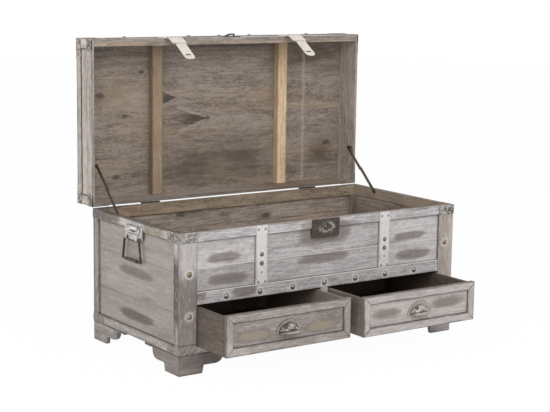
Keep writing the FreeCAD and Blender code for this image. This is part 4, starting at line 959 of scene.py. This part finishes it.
class CHEST_OT_feet(bpy.types.Operator):
    """Build the bracket feet"""

    bl_idname = "chest.feet"
    bl_label = "Feet"

    def execute(self, context):
        chance = np.random.default_rng(40)
        for end, near, inwards in (("front", FRONT_Y, 1), ("back", BACK_Y, -1)):
            for side, sign in SIDES:
                node = f"foot_{end}_{side}"
                boards = Boards(chance)
                for points, quads, caps, local in foot_boards((END_X * sign, near), (-sign, inwards)):
                    boards.add(points, quads, caps, local, local - (*FOOT_HALF, 0.0), FOOT_HALF)
                piece = boards.piece(f"{node}_boards", node, "carcass", "whitewash", "foot")
                ease = piece.modifiers.new("Eased edges", "BEVEL")
                ease.width = context.scene.chest_sizes.ease
                ease.segments = 2
                ease.angle_limit = math.radians(35)
        return {"FINISHED"}


class CHEST_OT_lid(bpy.types.Operator):
    """Build the boards of the lid"""

    bl_idname = "chest.lid"
    bl_label = "Lid boards"

    def execute(self, context):
        board_plan((
            ("lid_walls", "weathered", None, "lid_wall", "lid"),
            ("lid_top_boards", "weathered", X, "lid_inside", "lid"),
            ("lid_front_cleat", "raw_pine", X, "lid_cleat"),
            ("lid_battens", "raw_pine", Z, "pine"),
            ("lid_end_strips", "whitewash", None, "lid"),
            ("lid_long_strips", "whitewash", X, "lid"),
            ("lid_top_strips", "whitewash", None, "lid")), "lid", LID_MIDDLE, 20)
        return {"FINISHED"}


BEHIND_PANEL = (0.0, 0.2, 0.0)


class CHEST_OT_drawers(bpy.types.Operator):
    """Build the boards of both drawers"""

    bl_idname = "chest.drawers"
    bl_label = "Drawer boards"

    def execute(self, context):
        for side, sign in SIDES:
            body = f"drawer_{side}"
            low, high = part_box(f"drawer_panel_{side}")
            centre = np.array((low + high) / 2) + BEHIND_PANEL
            board_node(
                f"drawer_panel_{side}", body, "whitewash", X, "drawer_box", "drawer", centre, 50 + sign)
            board_node(f"drawer_box_{side}", body, "drawer_wood", None, "drawer_box", seed=54 + sign)
            board_node(f"drawer_bottom_{side}", body, "drawer_wood", Y, "drawer_box", seed=58 + sign)
            self.strips(f"drawer_frame_{side}", body, 62 + sign)
        return {"FINISHED"}

    def strips(self, node, body, seed, wide=0.024, stations=12):
        """Four strips round a drawer front: a shallow rounded profile carried along each side, cut at 45
        degrees at both ends so that neighbours meet in a mitre."""
        low, high = (np.array(corner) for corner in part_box(node))
        middle = (low + high) / 2
        spans = ((high - low) / 2)[[X, Z]]
        thick = high[Y] - low[Y]
        ease = bpy.context.scene.chest_sizes.ease
        inset = np.array((0.0, 0.0, ease, wide - 1.6 * ease, wide, wide))
        front = np.array((thick, ease, 0.0, 0.0, ease * 1.4, thick))
        share = np.linspace(-1, 1, stations)[:, None]
        quads, caps = tube_faces(stations, len(inset))
        boards = Boards(np.random.default_rng(seed))
        for turn in range(4):
            half, out = spans if turn % 2 == 0 else spans[::-1]
            angle = turn * math.pi / 2
            along = share * (half - inset)
            across = np.broadcast_to(out - inset, along.shape)
            x = middle[X] + along * math.cos(angle) + across * math.sin(angle)
            y = np.broadcast_to(low[Y] + front, along.shape)
            z = middle[Z] + along * math.sin(angle) - across * math.cos(angle)
            over = across - out + wide / 2
            squared = np.broadcast_to(share * half, along.shape)
            points, local, spot = (
                np.stack(parts, -1).reshape(-1, 3) for parts in ((x, y, z), (along, over, y), (squared, over, y)))
            boards.add(points, quads, caps, local, spot, (half, wide / 2))
        boards.piece(f"{node}_strips", node, body, "whitewash", "drawer_strip")


CUP_FOOT = 0.0032


def bell(value, middle, width):
    """The bell curve of a value round a middle."""
    return np.exp(-((value - middle) / width) ** 2)


class CHEST_OT_pulls(bpy.types.Operator):
    """Build the cup pulls"""

    bl_idname = "chest.pulls"
    bl_label = "Cup pulls"

    def execute(self, context):
        for side, sign in SIDES:
            node = f"cup_pull_{side}"
            low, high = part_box(node)
            place = ((low.x + high.x) / 2, high.y, low.z + CUP_FOOT)
            cup = self.cup(f"{node}_shell", *place, f"drawer_{side}")
            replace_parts(cup, node)
            self.arch(f"{node}_arch", *place, f"drawer_{side}")
        return {"FINISHED"}

    def relief(self, name, points, faces, body, deep):
        """A piece of cast metal that carries how deep its hollows and its painted shade are."""
        hollow_and_shade = np.repeat(np.clip(deep, 0, 1).reshape(-1, 1), 3, 1)
        piece = mesh_piece(name, np.stack(points, -1), faces, body, "caps", "relief", vectors={"hollow_and_shade": hollow_and_shade})
        smooth(piece)
        return piece

    def cup(self, name, middle, back, low, body, wide=0.0375, deep=0.0232, high=0.0315):
        """A cup pull: a quarter ellipse from the wall over to the lip, swept from side to side while its size
        follows a half ellipse, with leaf-shaped swellings across it and a rolled lip."""
        across, over = grid(np.linspace(0.02, math.pi - 0.02, 97), np.linspace(0, math.pi / 2, 25))
        leaf = np.cos(across * 6) * np.sin(over * 2) * np.cos(over * 5)
        lip = bell(over, 1.4, 0.09)
        size = np.sin(across) * (0.97 + 0.03 * leaf + 0.03 * lip)
        points = (
            middle + wide * np.cos(across), back - deep * size * np.sin(over), low + high * size * np.cos(over))
        # Dark between the leaves; painted shade in the crease above the rolled lip and on the left side, painted
        # light on the right; the lip paler.
        hollow_and_shade = 0.44 - 0.5 * leaf + 0.6 * bell(over, 1.22, 0.08) - 0.5 * lip - 0.4 * np.cos(across)
        faces = grid_faces(*across.shape, False)[:, ::-1].tolist()
        # Painted shade along the top where the cup meets the wall.
        piece = self.relief(name, points, faces, body, hollow_and_shade + 0.8 * bell(over, 0.0, 0.1))
        wall = piece.modifiers.new("Wall", "SOLIDIFY")
        wall.thickness = 0.0016
        wall.offset = -1
        return piece

    def arch(self, name, middle, back, low, body):
        """The flange round a cup: an arched band whose section rises from the wall, runs flat and ends in a
        beaded rim, swept along a half ellipse."""
        turn, step = grid(np.linspace(0.0, math.pi, 121), np.arange(8))
        reach = np.array((0.0355, 0.0360, 0.0395, 0.0410, 0.0425, 0.0445, 0.0460, 0.0465))[step]
        rise = np.array((0.0001, 0.0016, 0.0012, 0.0010, 0.0020, 0.0023, 0.0016, 0.0001))[step]
        # Dark share of each step: painted shade where the band meets the cup and painted shadow where the rim meets
        # the wall.
        hollow_and_shade = np.array((1.0, 0.8, 0.0, 0.2, 0.0, 0.0, 0.6, 1.0))[step]
        bead = 0.5 + 0.5 * np.cos(turn * 36)
        rise = np.where((step > 3) & (step < 7), rise * (0.72 + 0.28 * bead), rise)
        points = (middle + reach * np.cos(turn), back - rise, low + (reach - 0.0065) * np.sin(turn))
        quads, caps = tube_faces(*turn.shape)
        faces = face_list(quads[:, ::-1], [cap[::-1] for cap in caps])
        self.relief(name, points, faces, body, hollow_and_shade + np.where(step > 3, 0.4 * (1 - bead), 0.0))


def paired(*nodes):
    """The left and the right one of some nodes."""
    return [f"{node}_{side}" for node in nodes for side, sign in SIDES]


class CHEST_OT_fittings(bpy.types.Operator):
    """Finish the metal fittings and add their small parts"""

    bl_idname = "chest.fittings"
    bl_label = "Fittings"

    def execute(self, context):
        solids = {
            "cap": ["corner_caps"], "lid_cap": ["lid_corner_caps"], "handle_plate": ["bail_plates"],
            "steel": ["steel_nails", "hasp_pegs", "lid_nails"], "brass": ["brass_nails"], "lock": ["lock_plate"],
            "keyhole": ["lock_case"], "iron": ["hinge_leaves", "lid_hinge_leaves", "lift_ring"],
            "stay": ["stay_pins", "lid_stay_pins", *paired("stay_lower", "stay_upper")],
            "hasp": ["hasp_bases", *paired("hasp_link", "hasp_tongue")], "bail": paired("bail")}
        for finish, nodes in solids.items():
            for node in nodes:
                slots = frame["nodes"][node].data.materials
                slots.clear()
                slots.append(FINISHES[finish])
        self.tacks(context.scene.chest_sizes.tack)
        self.keyhole(context.scene.chest_sizes.bead)
        return {"FINISHED"}

    def tacks(self, radius):
        """Small tacks on the straps and caps of the front and the ends."""
        front = (0, -1, 0)
        straps = [
            (STRAP_X * sign + shift, FRONT_Y, level) for side, sign in SIDES for shift, level in STRAP_TACKS]
        domes("strap_tacks", straps, front, STRAP_TACK_RADIUS, "tack")
        pins = [(STRAP_X * sign, FRONT_Y, STRAP_PIN_Z) for side, sign in SIDES]
        domes("strap_pins", pins, front, radius, "tack")
        caps = [
            (sign * reach, FRONT_Y - CAP_SHEET, level)
            for side, sign in SIDES for reach in (0.452, 0.470, 0.490) for level in CAP_TACK_LEVELS]
        domes("cap_tacks", caps, front, radius, "steel")
        for side, sign in SIDES:
            caps = [
                (sign * (END_X + CAP_SHEET), end + way * reach, level)
                for end, way in ((FRONT_Y, 1), (BACK_Y, -1))
                for reach in (0.012, 0.030, 0.052) for level in CAP_TACK_LEVELS]
            domes(f"cap_tacks_{side}", caps, (sign, 0, 0), radius, "steel")

    def keyhole(self, bead):
        """The ring round the keyhole: a small circle carried round a larger one."""
        turn, around = grid(full_turn(36), full_turn(10))
        reach = KEYHOLE_RADIUS + bead * np.cos(around)
        points = np.stack((
            reach * np.cos(turn), LOCK_FACE_Y + bead * np.sin(around), KEYHOLE_Z + reach * np.sin(turn)), -1)
        faces = grid_faces(len(turn) + 1, len(around[0])) % turn.size
        smooth(mesh_piece("keyhole_ring", points, faces.tolist(), "carcass", "lock_iron", "lock"))


WHITE = (1.0, 1.0, 1.0, 1.0)
FLOOR_WHITE = (0.9, 0.9, 0.9, 1.0)
FLOOR_GLOW = 0.975


class CHEST_OT_stage(bpy.types.Operator):
    """Set up the floor, the light and the camera"""

    bl_idname = "chest.stage"
    bl_label = "Stage"

    def execute(self, context):
        scene = context.scene
        stage = scene.chest_stage
        scene.view_settings.view_transform = "Standard"
        self.floor()
        self.sky(scene, stage.sky)
        self.lamp("key_lamp", (-0.6, -3.4, 3.6), (0.0, 0.0, 0.35), 3.2, stage.key)
        self.lamp("fill_lamp", (-4.0, -0.6, 1.8), (0.0, 0.0, 0.3), 2.6, stage.fill)
        self.camera(scene, stage)
        return {"FINISHED"}

    def white_ray(self, tree):
        """1 for rays that see the background directly, in metal or through glass."""
        rays = add_node(tree, "ShaderNodeLightPath").socket.node.outputs
        return reduce(Wire.most, [Wire(rays[f"Is {kind} Ray"]) for kind in ("Camera", "Glossy", "Transmission")])

    def floor(self):
        """A round floor, white where it is seen, that keeps part of the chest's shadow."""
        made = bpy.data.materials.new("pale_floor")
        seen = self.white_ray(empty_tree(made))
        cloth = seen.node("ShaderNodeBsdfDiffuse", None, {"Color": FLOOR_WHITE})
        glow = seen.node("ShaderNodeEmission", None, {"Color": WHITE, "Strength": 1.0})
        shown = seen.node("ShaderNodeMixShader", None, {0: seen * FLOOR_GLOW, 1: cloth, 2: glow})
        seen.node("ShaderNodeOutputMaterial", None, {"Surface": shown})
        reach, turn = grid(np.linspace(14, 0.01, 6), full_turn(64))
        points = np.stack((reach * np.cos(turn), reach * np.sin(turn), np.zeros(turn.shape)), -1)
        quads, caps = tube_faces(*turn.shape)
        new_mesh("floor", points, face_list(quads, caps[1:]), [made])

    def sky(self, scene, strength):
        """Even light from all round, white where it is seen."""
        scene.world = bpy.data.worlds.new("studio")
        seen = self.white_ray(empty_tree(scene.world))
        glow = seen.node("ShaderNodeBackground", None, {0: WHITE, 1: seen + (1 - seen) * strength})
        seen.node("ShaderNodeOutputWorld", None, {"Surface": glow})

    def lamp(self, name, spot, aim, size, power):
        """A large square lamp turned towards a point."""
        light = bpy.data.lights.new(name, "AREA")
        light.size = size
        light.energy = power
        lamp = new_object(name, light)
        lamp.location = spot
        lamp.rotation_euler = (Vector(aim) - Vector(spot)).to_track_quat("-Z", "Y").to_euler()

    def camera(self, scene, stage):
        """The camera at the photograph's viewpoint."""
        lens = bpy.data.cameras.new("camera")
        lens.lens = stage.lens
        lens.sensor_width = 36
        lens.clip_end = 60
        scene.camera = new_object("camera", lens)
        scene.camera.matrix_world = (
            Matrix.Translation(stage.camera) @ Matrix.Rotation(-stage.yaw, 4, "Z")
            @ Matrix.Rotation(math.pi / 2 - stage.pitch, 4, "X") @ Matrix.Rotation(stage.roll, 4, "Z"))


class CHEST_PT_panel(bpy.types.Panel):
    """The chest's finishes and steps"""

    bl_idname = "CHEST_PT_panel"
    bl_label = "Mule chest"
    bl_space_type = "VIEW_3D"
    bl_region_type = "UI"
    bl_category = "Chest"

    def draw(self, context):
        for step in STEPS:
            self.layout.operator(step.bl_idname)
        for name, group in GROUPS.items():
            box = self.layout.box()
            for key in group.__annotations__:
                box.prop(getattr(context.scene, name), key)


STEPS = (
    CHEST_OT_finishes, CHEST_OT_carcass, CHEST_OT_feet, CHEST_OT_lid, CHEST_OT_drawers, CHEST_OT_pulls,
    CHEST_OT_fittings, CHEST_OT_stage)
GROUPS = {"chest_colours": ChestColours, "chest_sizes": ChestSizes, "chest_stage": ChestStage}
CLASSES = (*GROUPS.values(), *STEPS, CHEST_PT_panel)


def register():
    for made in CLASSES:
        bpy.utils.register_class(made)
    for name, group in GROUPS.items():
        setattr(bpy.types.Scene, name, bpy.props.PointerProperty(type=group))


def unregister():
    for name in GROUPS:
        delattr(bpy.types.Scene, name)
    for made in reversed(CLASSES):
        bpy.utils.unregister_class(made)


def main():
    register()
    bpy.ops.chest.finishes()
    bpy.ops.chest.carcass()
    bpy.ops.chest.feet()
    bpy.ops.chest.lid()
    bpy.ops.chest.drawers()
    bpy.ops.chest.pulls()
    bpy.ops.chest.fittings()
    bpy.ops.chest.stage()


if __name__ == "__main__":
    main()
